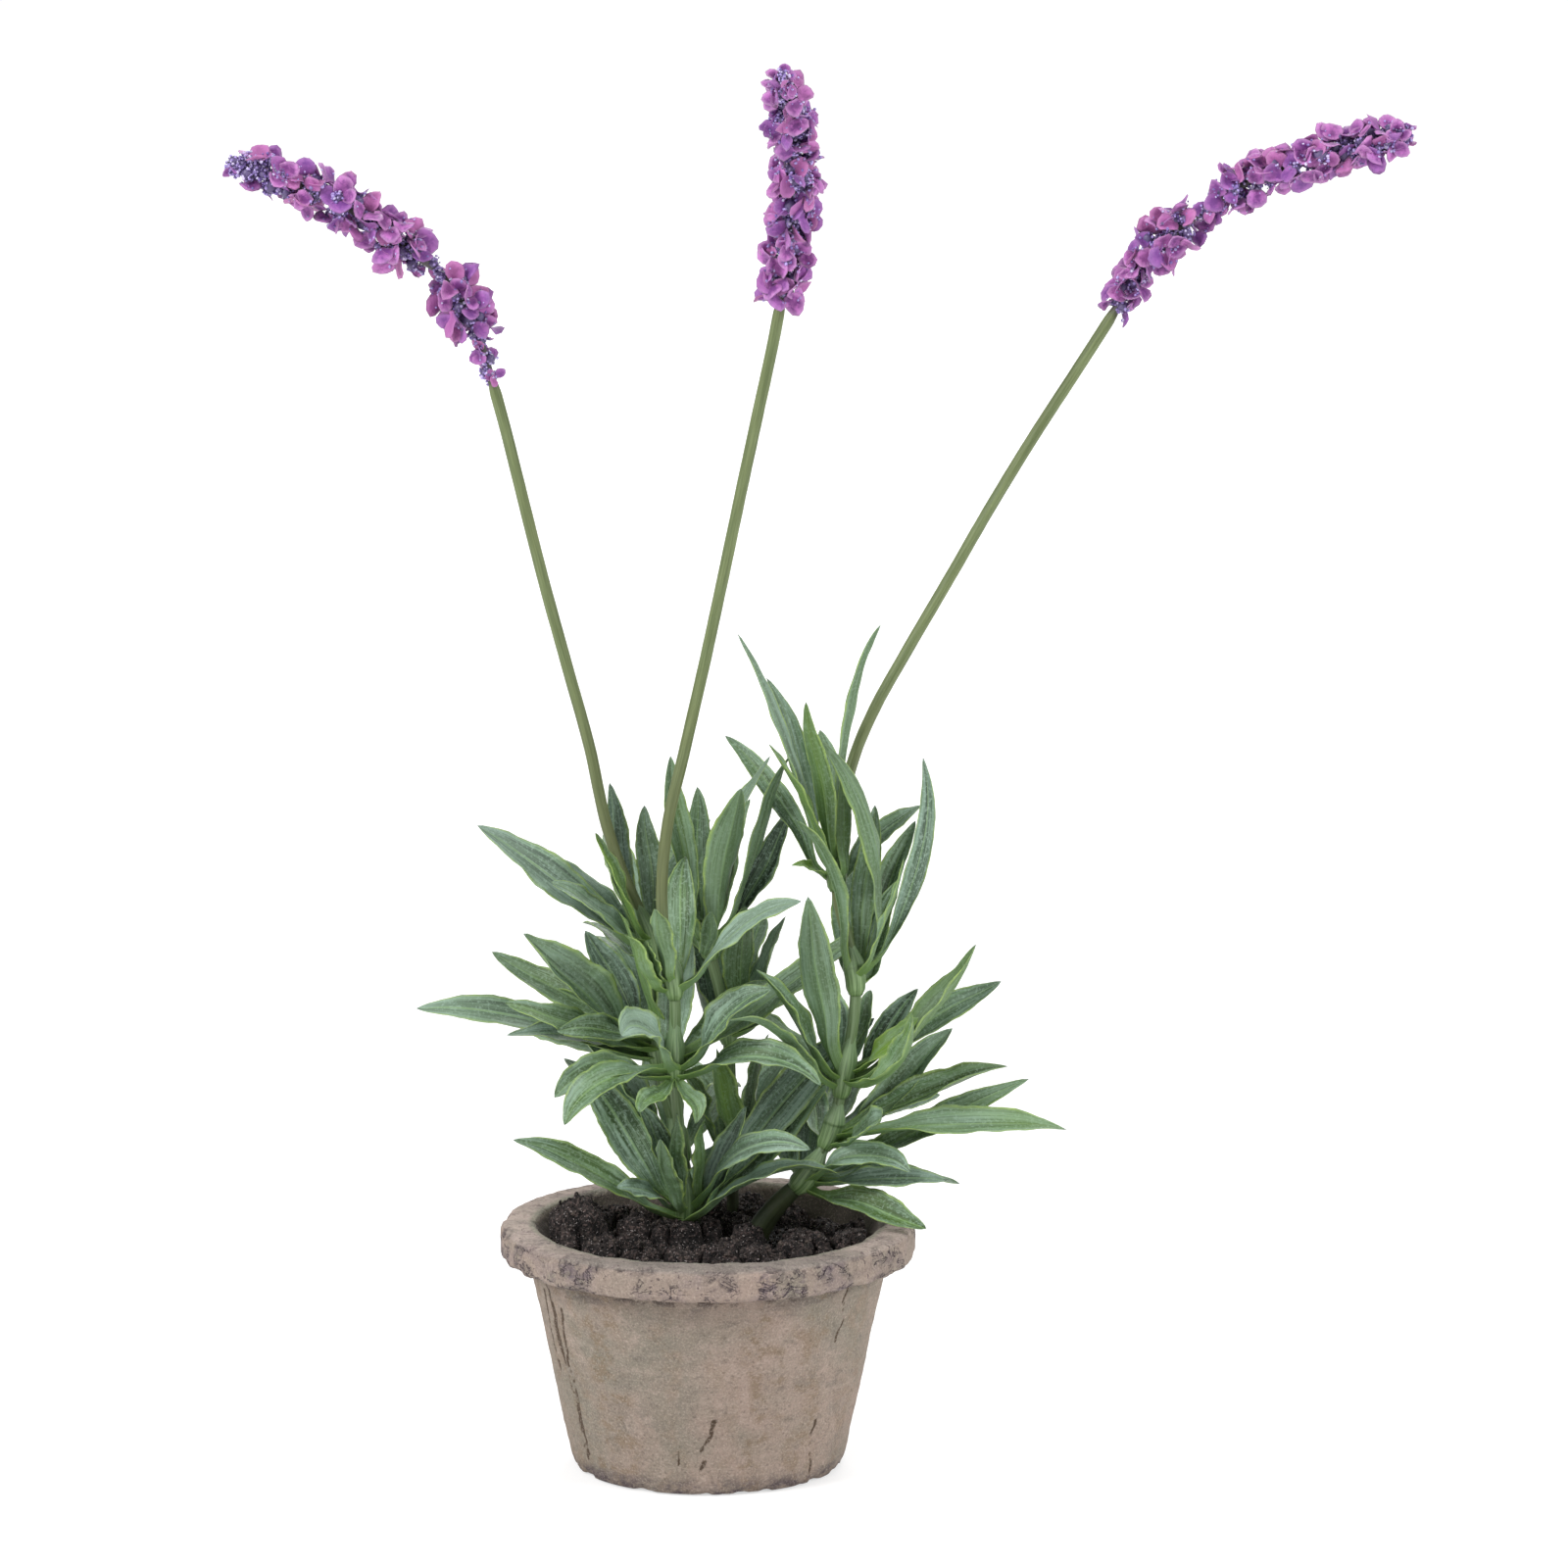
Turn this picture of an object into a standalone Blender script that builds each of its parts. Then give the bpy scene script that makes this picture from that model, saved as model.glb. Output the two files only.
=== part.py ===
# Potted lavender: a clay pot, its soil, four stems that carry whorls of narrow leaves, and
# the three flower spikes that end three of the stems.
# Metres, +Z up, origin at the centre of the pot's flat underside, front toward -Y.

import math

import bmesh
import bpy
import numpy as np
from mathutils.bvhtree import BVHTree

mm = 0.001

# Pot
potHeight = 0.0715
rimRadius = 0.060
rimHeight = 0.0103
rimOverhang = 0.008
lipWidth = 0.0105
baseRadius = 0.0390
wallThickness = 0.0062
floorThickness = 0.0065
baseRound = 0.002
rimRound = 0.0016
potSides = 40

# Soil
soilDrop = 0.0090          # from the rim's top down to the soil at the wall
soilMound = 0.0040         # rise toward the stems
moundSpread = 0.022
fitGap = 0.0004            # between the soil and what it touches

# Stems and stalks
stemRadius = 0.0016
rootDepth = 0.028          # how far a stem goes down into the soil
holeReach = 0.012          # how far above the soil's edge the cut for a stem reaches
rootBlend = 0.045          # height over which a thick root thins to the stem
stemSides = 8

# Leaf collars: short funnels threaded on a stem, with leaves growing from their side
collarGap = 0.0003
collarWall = 0.0007
collarFlare = 0.0006
tierHeight = 0.0034
lipHeight = 0.0030
collarSides = 8

# Leaf blades
leafThickness = 0.0009
footThickness = 0.0013
leafClearance = 0.0004
# distance along the leaf, and the width there as a share of the full width
bladeShape = ((0.12, 0.30), (0.30, 0.64), (0.50, 0.95), (0.68, 1.0), (0.86, 0.64))
kneeReach = 0.0012         # how far a leaf's foot stands out of the collar before it turns

# Floret clusters
floretGap = 0.0004
floretWall = 0.0009
floretSides = 10

# Stems: points from the foot up, each x, y and height above the soil's edge, in mm
stems = {
    "front": dict(rootRadius=0.0016, points=(
        (-7, 6, 3), (-6.5, 4, 12), (-8, -1, 34), (-9.5, -6, 56), (-9.5, -9.5, 81),
        (-12.5, -9, 98), (-12, -8, 121), (-7, -8, 145), (0, -8, 176), (6, -8, 204),
        (11, -8, 228), (15.5, -8, 249), (21, -10, 276), (23, -13, 289), (24.5, -18, 300),
        (25.5, -25, 312), (25, -34, 324), (23.5, -46, 336), (21, -60, 346))),
    "left": dict(rootRadius=0.0018, points=(
        (-4, 18, 3), (-7, 16, 22), (-15, 12, 57), (-16, 14, 86), (-20, 14, 98),
        (-26.5, 14, 114), (-35, 14, 150), (-41.5, 13, 174), (-49, 12, 203), (-53, 11, 220),
        (-57.5, 10, 239), (-61.5, 9, 253), (-64, 8, 263), (-68.5, 7, 274), (-75, 6, 283),
        (-82, 5, 288), (-89, 4, 294), (-100, 3, 301), (-111, 2, 307), (-122, 1, 311),
        (-137, 0, 316))),
    "right": dict(rootRadius=0.0034, points=(
        (14, 5, 3), (20, 2, 13), (28, -1, 22), (35, 0, 34), (39, 0, 51), (42.5, -4, 80),
        (37, 3, 109), (38, 5, 124), (41.5, 6, 142), (48.5, 7, 159), (60.5, 8.5, 180),
        (74, 9.5, 203.5), (84, 10, 221), (99.5, 10.5, 246), (115.5, 10.5, 271), (119.5, 10, 278),
        (123.5, 9, 285), (129, 8, 291), (137, 7, 298), (145, 6, 304), (151.5, 5, 308),
        (160, 4, 312), (171, 3, 316), (182, 2, 319), (193, 1, 322), (201, 0, 323.5))),
    "back": dict(rootRadius=0.0017, points=(
        (7, 23, 3), (7, 22, 24), (6.5, 20, 44), (5.5, 18, 62), (0, 14.5, 88), (-1.5, 14, 97))),
}

# Leaf whorls: height of the collar above the soil's edge in mm, then one line for each leaf:
# bearing and lift of the line from collar to tip in degrees (bearing 0 is +X, 90 is away from
# the front), distance to the tip in mm, bow (how far the ends bend down from that line, in
# degrees), turn (how far the upper face leans to the front, in degrees) and width in mm.
whorls = {
    "front_1": dict(stem="front", height=11, leaves=(
        (175, 22, 54, 14, 32, 9), (210, 22, 25, 35, 20, 8), (155, 48, 52, 6, 62, 11),
        (190, 70, 34, 5, 40, 8), (240, 57, 29, 6, 30, 8), (260, 70, 33, 5, 20, 7),
        (310, 75, 30, 5, 20, 7), (355, 58, 36, 8, 55, 9), (325, 22, 52, 45, 40, 9),
        (340, 17, 50, 35, 22, 9), (344, 48, 78, 6, 58, 11), (355, 46, 55, 6, 40, 10),
        (75, 40, 46, 14, 0, 10), (115, 28, 44, 18, 0, 9))),
    "front_2": dict(stem="front", height=55, leaves=(
        (228, 40, 31, 60, 55, 12), (196, -10, 36, 45, 32, 9), (213, -18, 39, 40, 32, 9),
        (240, -27, 21, 20, 20, 7), (298, -38, 20, 25, 0, 6), (335, 44, 40, 14, 50, 12),
        (8, 35, 69, -4, 32, 10), (336, 0, 46, 45, 40, 10), (95, 50, 44, 12, 0, 10),
        (50, 30, 42, 16, 0, 9))),
    "front_3": dict(stem="front", height=79, leaves=(
        (340, 36, 48, 26, 32, 10), (242, 66, 29, 22, 20, 9), (214, 55, 18, 6, 20, 8),
        (200, 52, 22, 6, 30, 7), (80, 62, 40, 10, 0, 9))),
    "left_1": dict(stem="left", height=25, leaves=(
        (188, 52, 44, 6, 42, 9), (150, 30, 46, 16, 20, 9), (105, 35, 46, 18, 0, 10),
        (62, 22, 40, 16, 0, 9))),
    "left_2": dict(stem="left", height=57, leaves=(
        (188, 14, 71, 12, 36, 10), (200, 43, 54, 8, 62, 12), (184, 23, 57, 9, 40, 9),
        (205, 24, 50, 5, 52, 10), (185, 6, 46, 7, 40, 9), (178, -1, 51, 9, 42, 9),
        (158, 58, 40, 6, 40, 9), (164, 30, 42, 12, 35, 9), (210, 18, 37, 10, 40, 8),
        (233, 72, 47, 6, 45, 10), (118, 42, 46, 15, 0, 10), (80, 30, 42, 15, 0, 9))),
    "left_3": dict(stem="left", height=85, leaves=(
        (187, 35, 63, 13, 62, 12), (165, 41, 40, 20, 26, 8), (198, 32, 38, 6, 40, 9),
        (209, 61, 41, 6, 30, 8), (163, 80, 50, -6, 34, 8), (100, 75, 42, 8, 20, 8),
        (149, 2, 31, 30, 20, 8), (60, 48, 46, 14, 0, 10), (112, 36, 50, 15, 0, 10))),
    "back_1": dict(stem="back", height=22, leaves=(
        (248, 78, 38, 5, 10, 9), (20, 74, 38, 6, 10, 8), (193, 62, 32, 6, 20, 7),
        (60, 34, 44, 16, 0, 9), (110, 40, 44, 15, 0, 10))),
    "back_2": dict(stem="back", height=60, leaves=(
        (300, 68, 40, 6, 0, 9), (31, 60, 38, 6, 0, 9), (150, 64, 30, 6, 0, 8),
        (20, 39, 38, 10, 20, 9), (75, 38, 46, 15, 0, 10), (115, 46, 42, 12, 0, 10))),
    "back_3": dict(stem="back", height=88, leaves=(
        (332, 70, 60, 25, 38, 9), (299, 68, 53, 15, 0, 12), (147, 75, 55, 6, 30, 9),
        (334, 65, 64, -4, 0, 7), (36, 76, 42, 6, 20, 9), (60, 60, 45, 6, 0, 8),
        (355, 59, 45, -5, 58, 10), (239, 39, 24, 36, 0, 6), (280, 48, 16, 6, 0, 6),
        (95, 62, 46, 10, 0, 10), (120, 38, 46, 15, 0, 10))),
    "right_1": dict(stem="right", height=21, leaves=(
        (336, -15, 40, 16, 40, 9), (349, 2, 42, 12, 30, 8), (5, 0, 46, 10, 22, 8),
        (16, 16, 38, 12, 30, 8), (4, 26, 71, -8, 36, 9), (317, 13, 34, 50, 32, 9),
        (80, 30, 44, 16, 0, 9), (120, 24, 38, 18, 0, 9))),
    "right_2": dict(stem="right", height=33, leaves=(
        (5, 4, 69, 13, 40, 9), (13, 20, 57, 12, 40, 9), (333, 25, 30, 20, 42, 9),
        (0, 39, 50, -6, 42, 9), (20, 9, 46, 9, 30, 8), (123, 27, 34, 8, 0, 8),
        (75, 18, 46, 16, 0, 9))),
    "right_3": dict(stem="right", height=50, leaves=(
        (354, 48, 56, -12, 36, 9), (322, 44, 34, -40, 40, 9), (349, 42, 30, 6, 40, 8),
        (10, 31, 54, 4, 42, 9), (31, 42, 36, 6, 30, 8), (59, 41, 32, 6, 0, 8),
        (201, 43, 45, 10, 50, 10), (233, 71, 59, 6, -20, 11), (210, 24, 51, 25, 12, 7),
        (100, 38, 44, 14, 0, 10), (140, 30, 38, 14, 0, 9))),
    "right_4": dict(stem="right", height=79, leaves=(
        (200, 81, 72, 30, 40, 9), (354, 73, 69, -18, 12, 7), (323, 67, 42, -6, 20, 8), (46, 62, 32, 4, 20, 8),
        (71, 72, 52, 6, 20, 9), (221, 74, 56, 25, 20, 8),
        (51, 62, 52, 6, 20, 9), (112, 48, 48, 12, 0, 10))),
    "right_5": dict(stem="right", height=110, leaves=(
        (205, 25, 14, 6, 30, 6), (326, 79, 76, 18, 10, 7), (244, 82, 56, 4, 0, 9),
        (300, 77, 59, 8, 0, 6), (187, 66, 76, 4, 26, 8), (166, 66, 60, 10, 32, 9),
        (225, 66, 49, 12, 40, 9), (166, 39, 53, 25, 40, 9), (25, 31, 34, 24, 32, 9),
        (100, 58, 45, 10, 0, 10))),
}

# Floret clusters on each spike, from its tip down: start and end measured along the stalk from
# the tip, and the radius, in mm.
florets = {
    "left": ((0, 20, 6.5), (21, 45, 8), (46, 63, 8), (64, 72, 4.2), (73, 91, 8), (92, 106, 3.8)),
    "front": ((0, 17, 6.5), (18, 35, 8), (36, 52, 8), (53, 69, 8), (70, 88, 8)),
    "right": ((0, 21, 6.5), (22, 43, 7.5), (44, 59, 8), (60, 69, 4.2), (70, 88, 8), (89, 104, 5.5)),
}

# Clods that stand out of the soil: x, y, rise and spread, in mm
clods = ((-34, -4, 4.0, 7), (-22, -14, 2.4, 6), (-12, -30, 2.0, 6), (6, -22, 2.6, 7),
         (24, -18, 2.2, 6), (36, -6, 2.0, 6), (-20, 20, 2.0, 7), (26, 22, 2.4, 7),
         (4, 36, 1.8, 6), (-36, 20, 1.6, 6), (42, 12, 1.2, 5), (-6, -4, 2.0, 6))

# Colours: red, green, blue, then roughness
colours = {
    "pot": (0.34, 0.22, 0.16, 0.9),
    "soil": (0.035, 0.024, 0.018, 0.95),
    "stem": (0.17, 0.20, 0.06, 0.6),
    "leaf": (0.09, 0.17, 0.09, 0.55),
    "petal": (0.24, 0.07, 0.38, 0.6),
}


# ---- helpers --------------------------------------------------------------------------------

def clearScene():
    for thing in list(bpy.data.objects):
        bpy.data.objects.remove(thing, do_unlink=True)


def makeMaterial(name, kind):
    red, green, blue, rough = colours[kind]
    material = bpy.data.materials.new(name)
    material.use_nodes = True
    shader = material.node_tree.nodes["Principled BSDF"]
    shader.inputs["Base Color"].default_value = (red, green, blue, 1)
    shader.inputs["Roughness"].default_value = rough
    shader.inputs["Metallic"].default_value = 0.0
    return material


def makeObject(name, points, faces, kind, smooth=False):
    mesh = bpy.data.meshes.new(name)
    build = bmesh.new()
    verts = [build.verts.new(tuple(point)) for point in points]
    for face in faces:
        build.faces.new([verts[corner] for corner in face])
    build.normal_update()
    build.to_mesh(mesh)
    build.free()
    if smooth:
        mesh.shade_smooth()
        mesh.set_sharp_from_angle(angle=math.radians(40))
    mesh.materials.append(makeMaterial(name, kind))
    thing = bpy.data.objects.new(name, mesh)
    bpy.context.collection.objects.link(thing)
    return thing


def unit(vector):
    return vector / np.linalg.norm(vector)


# Two triangles between each pair of neighbouring points on two rings of the same size.
def joinRings(first, second, faces):
    count = len(first)
    for step in range(count):
        after = (step + 1) % count
        faces.append((first[step], first[after], second[after]))
        faces.append((first[step], second[after], second[step]))


# ---- pot ------------------------------------------------------------------------------------

bandLevel = potHeight - rimHeight
soilLevel = potHeight - soilDrop


def outerRadius(level):
    return baseRadius + (rimRadius - rimOverhang - baseRadius) * level / bandLevel


def innerRadius(level):
    if level <= bandLevel:
        return outerRadius(level) - wallThickness
    share = (level - bandLevel) / rimHeight
    low = outerRadius(bandLevel) - wallThickness
    return low + (rimRadius - lipWidth - low) * share


# A corner turned into a small arc that touches both of its sides.
def roundCorner(before, corner, after, radius, steps=2):
    before, corner, after = (np.array(point, float) for point in (before, corner, after))
    back, ahead = unit(before - corner), unit(after - corner)
    half = math.acos(max(-1.0, min(1.0, float(back @ ahead)))) / 2
    reach = radius / math.tan(half)
    centre = corner + unit(back + ahead) * radius / math.sin(half)
    start, end = corner + back * reach - centre, corner + ahead * reach - centre
    swing = math.pi - 2 * half
    arc = []
    for step in range(steps + 1):
        share = step / steps
        mix = (math.sin((1 - share) * swing) * start + math.sin(share * swing) * end)
        arc.append(centre + mix / math.sin(swing))
    return arc


def potProfile():
    corners = [(0, 0), (baseRadius, 0), (outerRadius(bandLevel), bandLevel),
               (rimRadius, bandLevel + 0.0006), (rimRadius, potHeight),
               (rimRadius - lipWidth, potHeight), (innerRadius(bandLevel), bandLevel),
               (innerRadius(floorThickness), floorThickness), (0, floorThickness)]
    rounds = [0, baseRound, 0, rimRound, rimRound * 1.4, rimRound, 0, 0, 0]
    points = []
    for place, corner in enumerate(corners):
        if rounds[place]:
            points += roundCorner(corners[place - 1], corner, corners[place + 1], rounds[place])
        else:
            points.append(np.array(corner, float))
    return points


def makePot():
    build = bmesh.new()
    verts = [build.verts.new((x, 0, z)) for x, z in potProfile()]
    edges = [build.edges.new(pair) for pair in zip(verts, verts[1:])]
    bmesh.ops.spin(build, geom=verts + edges, cent=(0, 0, 0), axis=(0, 0, 1),
                   angle=2 * math.pi, steps=potSides, use_merge=True)
    bmesh.ops.remove_doubles(build, verts=build.verts, dist=1e-6)
    bmesh.ops.recalc_face_normals(build, faces=build.faces)
    bmesh.ops.triangulate(build, faces=build.faces)
    mesh = bpy.data.meshes.new("pot")
    build.to_mesh(mesh)
    build.free()
    mesh.shade_smooth()
    mesh.set_sharp_from_angle(angle=math.radians(35))
    mesh.materials.append(makeMaterial("pot", "pot"))
    pot = bpy.data.objects.new("pot", mesh)
    bpy.context.collection.objects.link(pot)
    return pot


# ---- soil -----------------------------------------------------------------------------------

# Height of the soil's top over a point: an even bed, a low mound under the stems, and clods.
def soilHeight(x, y):
    rise = soilMound * math.exp(-(x * x + (y - 0.010) ** 2) / (2 * moundSpread ** 2))
    for clodX, clodY, clodRise, spread in clods:
        away = (x - clodX * mm) ** 2 + (y - clodY * mm) ** 2
        rise += clodRise * mm * math.exp(-away / (2 * (spread * mm) ** 2) * 2)
    return soilLevel + rise


def makeSoil(paths):
    shares = (0.16, 0.34, 0.52, 0.70, 0.86)
    edge = innerRadius(soilLevel) - fitGap
    bottom = floorThickness + fitGap
    turns = [2 * math.pi * step / potSides for step in range(potSides)]
    points, rings = [(0, 0, bottom)], []

    def addRing(radius, level):
        rings.append(range(len(points), len(points) + potSides))
        for turn in turns:
            x, y = radius * math.cos(turn), radius * math.sin(turn)
            points.append((x, y, soilHeight(x, y) if level is None else level))

    addRing(innerRadius(bottom) - fitGap - 0.001, bottom)
    addRing(innerRadius(bottom + 0.002) - fitGap, bottom + 0.002)
    if soilLevel > bandLevel:
        addRing(innerRadius(bandLevel) - fitGap, bandLevel)
    addRing(edge, soilLevel)
    for share in reversed(shares):
        addRing(edge * share, None)
    points.append((0, 0, soilHeight(0, 0)))
    faces = []
    for first, second in zip(rings, rings[1:]):
        joinRings(first, second, faces)
    for step in range(potSides):
        after = (step + 1) % potSides
        faces.append((0, rings[0][after], rings[0][step]))
        faces.append((len(points) - 1, rings[-1][step], rings[-1][after]))
    soil = makeObject("soil", points, faces, "soil")

    # each stem stands in its own hole, a little wider and deeper than the stem
    for name, path in paths.items():
        holeRings = []
        for place, (centre, ahead, side, radius) in zip(*stemRings(path)):
            holeRings.append((centre, ahead, side, radius + fitGap))
            if place > rootDepth + holeReach:
                break
        centre, ahead, side, radius = holeRings[0]
        holeRings[0] = (centre - ahead * 2 * fitGap, ahead, side, radius)
        cutter = makeTube("hole_" + name, holeRings, "soil", stemSides)
        cutter.hide_render = True
        cutter.display_type = "WIRE"
        cut = soil.modifiers.new("hole_" + name, "BOOLEAN")
        cut.operation = "DIFFERENCE"
        cut.solver = "EXACT"
        cut.object = cutter
    return soil


# ---- stems ----------------------------------------------------------------------------------

# A smooth line through the chosen points, as fine steps with directions and distances.
def smoothPath(points, radius, root):
    points = np.array(points, float) * mm
    points[:, 2] += soilLevel
    foot = points[0].copy()
    # a straight stretch below the soil
    below = [foot - (0, 0, rootDepth + 0.003), foot - (0, 0, rootDepth * 0.5)]
    points = np.vstack([below, points])
    knots = np.concatenate([[0], np.cumsum(np.linalg.norm(np.diff(points, axis=0), axis=1))])
    slopes = np.zeros_like(points)
    steps = np.diff(knots)[:, None]
    secants = np.diff(points, axis=0) / steps
    slopes[1:-1] = (secants[:-1] * steps[1:] + secants[1:] * steps[:-1]) / (steps[1:] + steps[:-1])
    slopes[0], slopes[-1] = secants[0], secants[-1]
    fine = []
    for leg in range(len(points) - 1):
        for share in np.linspace(0, 1, 24, endpoint=False):
            s2, s3 = share * share, share ** 3
            fine.append((2 * s3 - 3 * s2 + 1) * points[leg] + (s3 - 2 * s2 + share) * steps[leg] * slopes[leg]
                        + (3 * s2 - 2 * s3) * points[leg + 1] + (s3 - s2) * steps[leg] * slopes[leg + 1])
    fine.append(points[-1])
    fine = np.array(fine)
    along = np.concatenate([[0], np.cumsum(np.linalg.norm(np.diff(fine, axis=0), axis=1))])
    ahead = np.gradient(fine, axis=0)
    ahead /= np.linalg.norm(ahead, axis=1)[:, None]
    # a side direction carried along the line without twisting
    side = np.zeros_like(fine)
    side[0] = (1, 0, 0)
    for step in range(1, len(fine)):
        carried = side[step - 1] - ahead[step] * (side[step - 1] @ ahead[step])
        side[step] = carried / np.linalg.norm(carried)

    def radiusAt(distance):
        share = min(1.0, max(0.0, (distance - rootDepth) / rootBlend))
        share = share * share * (3 - 2 * share)
        return root + (radius - root) * share

    return dict(points=fine, along=along, ahead=ahead, side=side, length=along[-1],
                radius=radiusAt)


def pathFrame(path, distance):
    table = [path["points"], path["ahead"], path["side"]]
    place = [np.array([np.interp(distance, path["along"], column[:, axis]) for axis in range(3)])
             for column in table]
    ahead = unit(place[1])
    if distance < 0:
        place[0] = place[0] + ahead * distance
    side = unit(place[2] - ahead * (place[2] @ ahead))
    return place[0], ahead, side


def distanceAtHeight(path, height):
    level = soilLevel + height * mm
    above = np.nonzero(path["points"][:, 2] >= level)[0]
    return float(path["along"][above[0]])


def ringPoints(centre, ahead, side, radius, sides):
    other = np.cross(ahead, side)
    turns = [2 * math.pi * step / sides for step in range(sides)]
    return [centre + radius * (math.cos(turn) * side + math.sin(turn) * other) for turn in turns]


# A closed tube through rings, with a low point at each end.
def tubeMesh(rings, sides):
    centre, ahead, side, radius = rings[0]
    points, faces, loops = [centre - ahead * radius * 0.3], [], []
    for centre, ahead, side, radius in rings:
        loops.append(range(len(points), len(points) + sides))
        points += ringPoints(centre, ahead, side, radius, sides)
    points.append(centre + ahead * radius * 0.5)
    for first, second in zip(loops, loops[1:]):
        joinRings(first, second, faces)
    for step in range(sides):
        after = (step + 1) % sides
        faces.append((0, loops[0][after], loops[0][step]))
        faces.append((len(points) - 1, loops[-1][step], loops[-1][after]))
    return points, faces


def makeTube(name, rings, kind, sides):
    points, faces = tubeMesh(rings, sides)
    return makeObject(name, points, faces, kind, smooth=True)


# Rings stand close together where the stem bends and far apart where it is straight.
def stemRings(path):
    start, end = 0.0008, path["length"] - 0.003
    stations = [start]
    bend = 0.0
    for step in range(1, len(path["along"])):
        here = float(path["along"][step])
        if here <= start or here >= end:
            continue
        turn = float(path["ahead"][step] @ path["ahead"][step - 1])
        bend += math.acos(max(-1.0, min(1.0, turn)))
        gone = here - stations[-1]
        if (bend > math.radians(6) or gone > 0.024) and gone > 0.004:
            stations.append(here)
            bend = 0.0
    if end - stations[-1] < 0.004:
        stations.pop()
    stations.append(end)
    rings = []
    for place in stations:
        centre, ahead, side = pathFrame(path, place)
        thin = 1.0 if place < end else 0.6
        rings.append((centre, ahead, side, path["radius"](place) * thin))
    return stations, rings


# ---- leaves ---------------------------------------------------------------------------------

def bearingVector(bearing, lift):
    flat = math.cos(lift)
    return np.array([flat * math.cos(bearing), flat * math.sin(bearing), math.sin(lift)])


# Four corners for each station of a leaf, from foot to point, and the point itself.
# The leaf's middle line is an arc of a circle through its foot and its tip.
def leafRings(foot, tip, bearing, bow, turn, width, grow=0.0):
    chord = tip - foot
    reach = np.linalg.norm(chord)
    along = chord / reach
    side = np.array([-math.sin(bearing), math.cos(bearing), 0.0])
    side = unit(side - along * (side @ along))
    up = np.cross(along, side)
    bow = bow if abs(bow) > 0.01 else 0.01
    radius = reach / (2 * math.sin(bow))
    front = -side if side[1] > 0 else side
    rings = []
    for share, wide in bladeShape:
        angle = bow * (1 - 2 * share)
        centre = (foot + along * radius * (math.sin(bow) - math.sin(angle))
                  + up * radius * (math.cos(angle) - math.cos(bow)))
        ahead = along * math.cos(angle) + up * math.sin(angle)
        face = -along * math.sin(angle) + up * math.cos(angle)
        ease = min(1.0, share / 0.45)
        roll = turn * ease * ease * (3 - 2 * ease)
        face = face * math.cos(roll) + front * math.sin(roll)
        across = np.cross(face, ahead)
        half = max(width * wide, 0.0022) / 2 + grow
        thick = (footThickness + (leafThickness - footThickness) * min(1.0, share / 0.4)) / 2 + grow
        rings.append([centre + sideStep * across * half + faceStep * face * thick
                      for sideStep, faceStep in ((-1, -1), (1, -1), (1, 1), (-1, 1))])
    point = tip + grow * unit(tip - (rings[-1][0] + rings[-1][2]) / 2)
    return rings, point


def leafFaces(loops, point, faces):
    for first, second in zip(loops, loops[1:]):
        joinRings(first, second, faces)
    last = loops[-1]
    for step in range(4):
        faces.append((last[step], last[(step + 1) % 4], point))


def treeOf(points, faces):
    return BVHTree.FromPolygons([tuple(point) for point in points], [tuple(face) for face in faces])


def bladeTree(rings, point):
    points = [corner for ring in rings for corner in ring] + [point]
    faces = []
    leafFaces([range(4 * n, 4 * n + 4) for n in range(len(rings))], len(points) - 1, faces)
    faces.append((0, 2, 1))
    faces.append((0, 3, 2))
    return treeOf(points, faces)


# The collar: rings from its lower edge to its lip, an inner bore, and which of its side faces
# carries which leaf.
def collarShape(path, height, leafCount):
    middle = distanceAtHeight(path, height)
    tiers = 2 if leafCount <= 8 else 3
    low = -tierHeight * tiers / 2
    levels = [low + tierHeight * tier for tier in range(tiers + 1)] + [-low + lipHeight]
    outer, inner = [], []
    for level in levels:
        centre, ahead, side = pathFrame(path, middle + level)
        share = (level - low) / (levels[-1] - low)
        bore = (path["radius"](middle + level) + collarGap) / math.cos(math.pi / collarSides)
        outer.append(ringPoints(centre, ahead, side, bore + collarWall + collarFlare * share,
                                collarSides))
        inner.append(ringPoints(centre, ahead, side, bore, collarSides))
    centre, ahead, side = pathFrame(path, middle)
    return centre, ahead, outer, inner[::-1], tiers


# Every side face of a collar that can carry a leaf.
def collarSeats(centre, outer, tiers):
    seats = []
    for tier in range(tiers):
        for step in range(collarSides):
            after = (step + 1) % collarSides
            corners = (outer[tier][step], outer[tier][after],
                       outer[tier + 1][after], outer[tier + 1][step])
            middle = sum(corners) / 4
            look = middle - centre
            seats.append(dict(tier=tier, step=step, corners=corners, middle=middle,
                              bearing=math.atan2(look[1], look[0])))
    return seats


# The free side faces that look a leaf's way, the nearest first, high leaves on upper tiers.
def seatsFor(leaf, seats, taken, tiers):
    start = math.radians(leaf[1] + leaf[3])
    bearing = math.radians(leaf[0]) + (math.pi if math.cos(start) < -0.2 else 0)
    wanted = (tiers - 1) * min(1.0, max(0.0, leaf[1] / 80))
    order = []
    for place, seat in enumerate(seats):
        apart = abs((seat["bearing"] - bearing + math.pi) % (2 * math.pi) - math.pi)
        if place not in taken:
            order.append((round(apart + 0.15 * abs(seat["tier"] - wanted), 6), place))
    return [place for cost, place in sorted(order)[:7]]


# Small turns of bearing and lift, nearest first, that a leaf may take to pass its neighbours.
def smallTurns():
    turns = [(sideways * 4, upward * 3) for sideways in range(-10, 11) for upward in range(-8, 9)]
    return sorted(turns, key=lambda turn: (turn[0] ** 2 + (2 * turn[1]) ** 2, turn))[:180]


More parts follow.
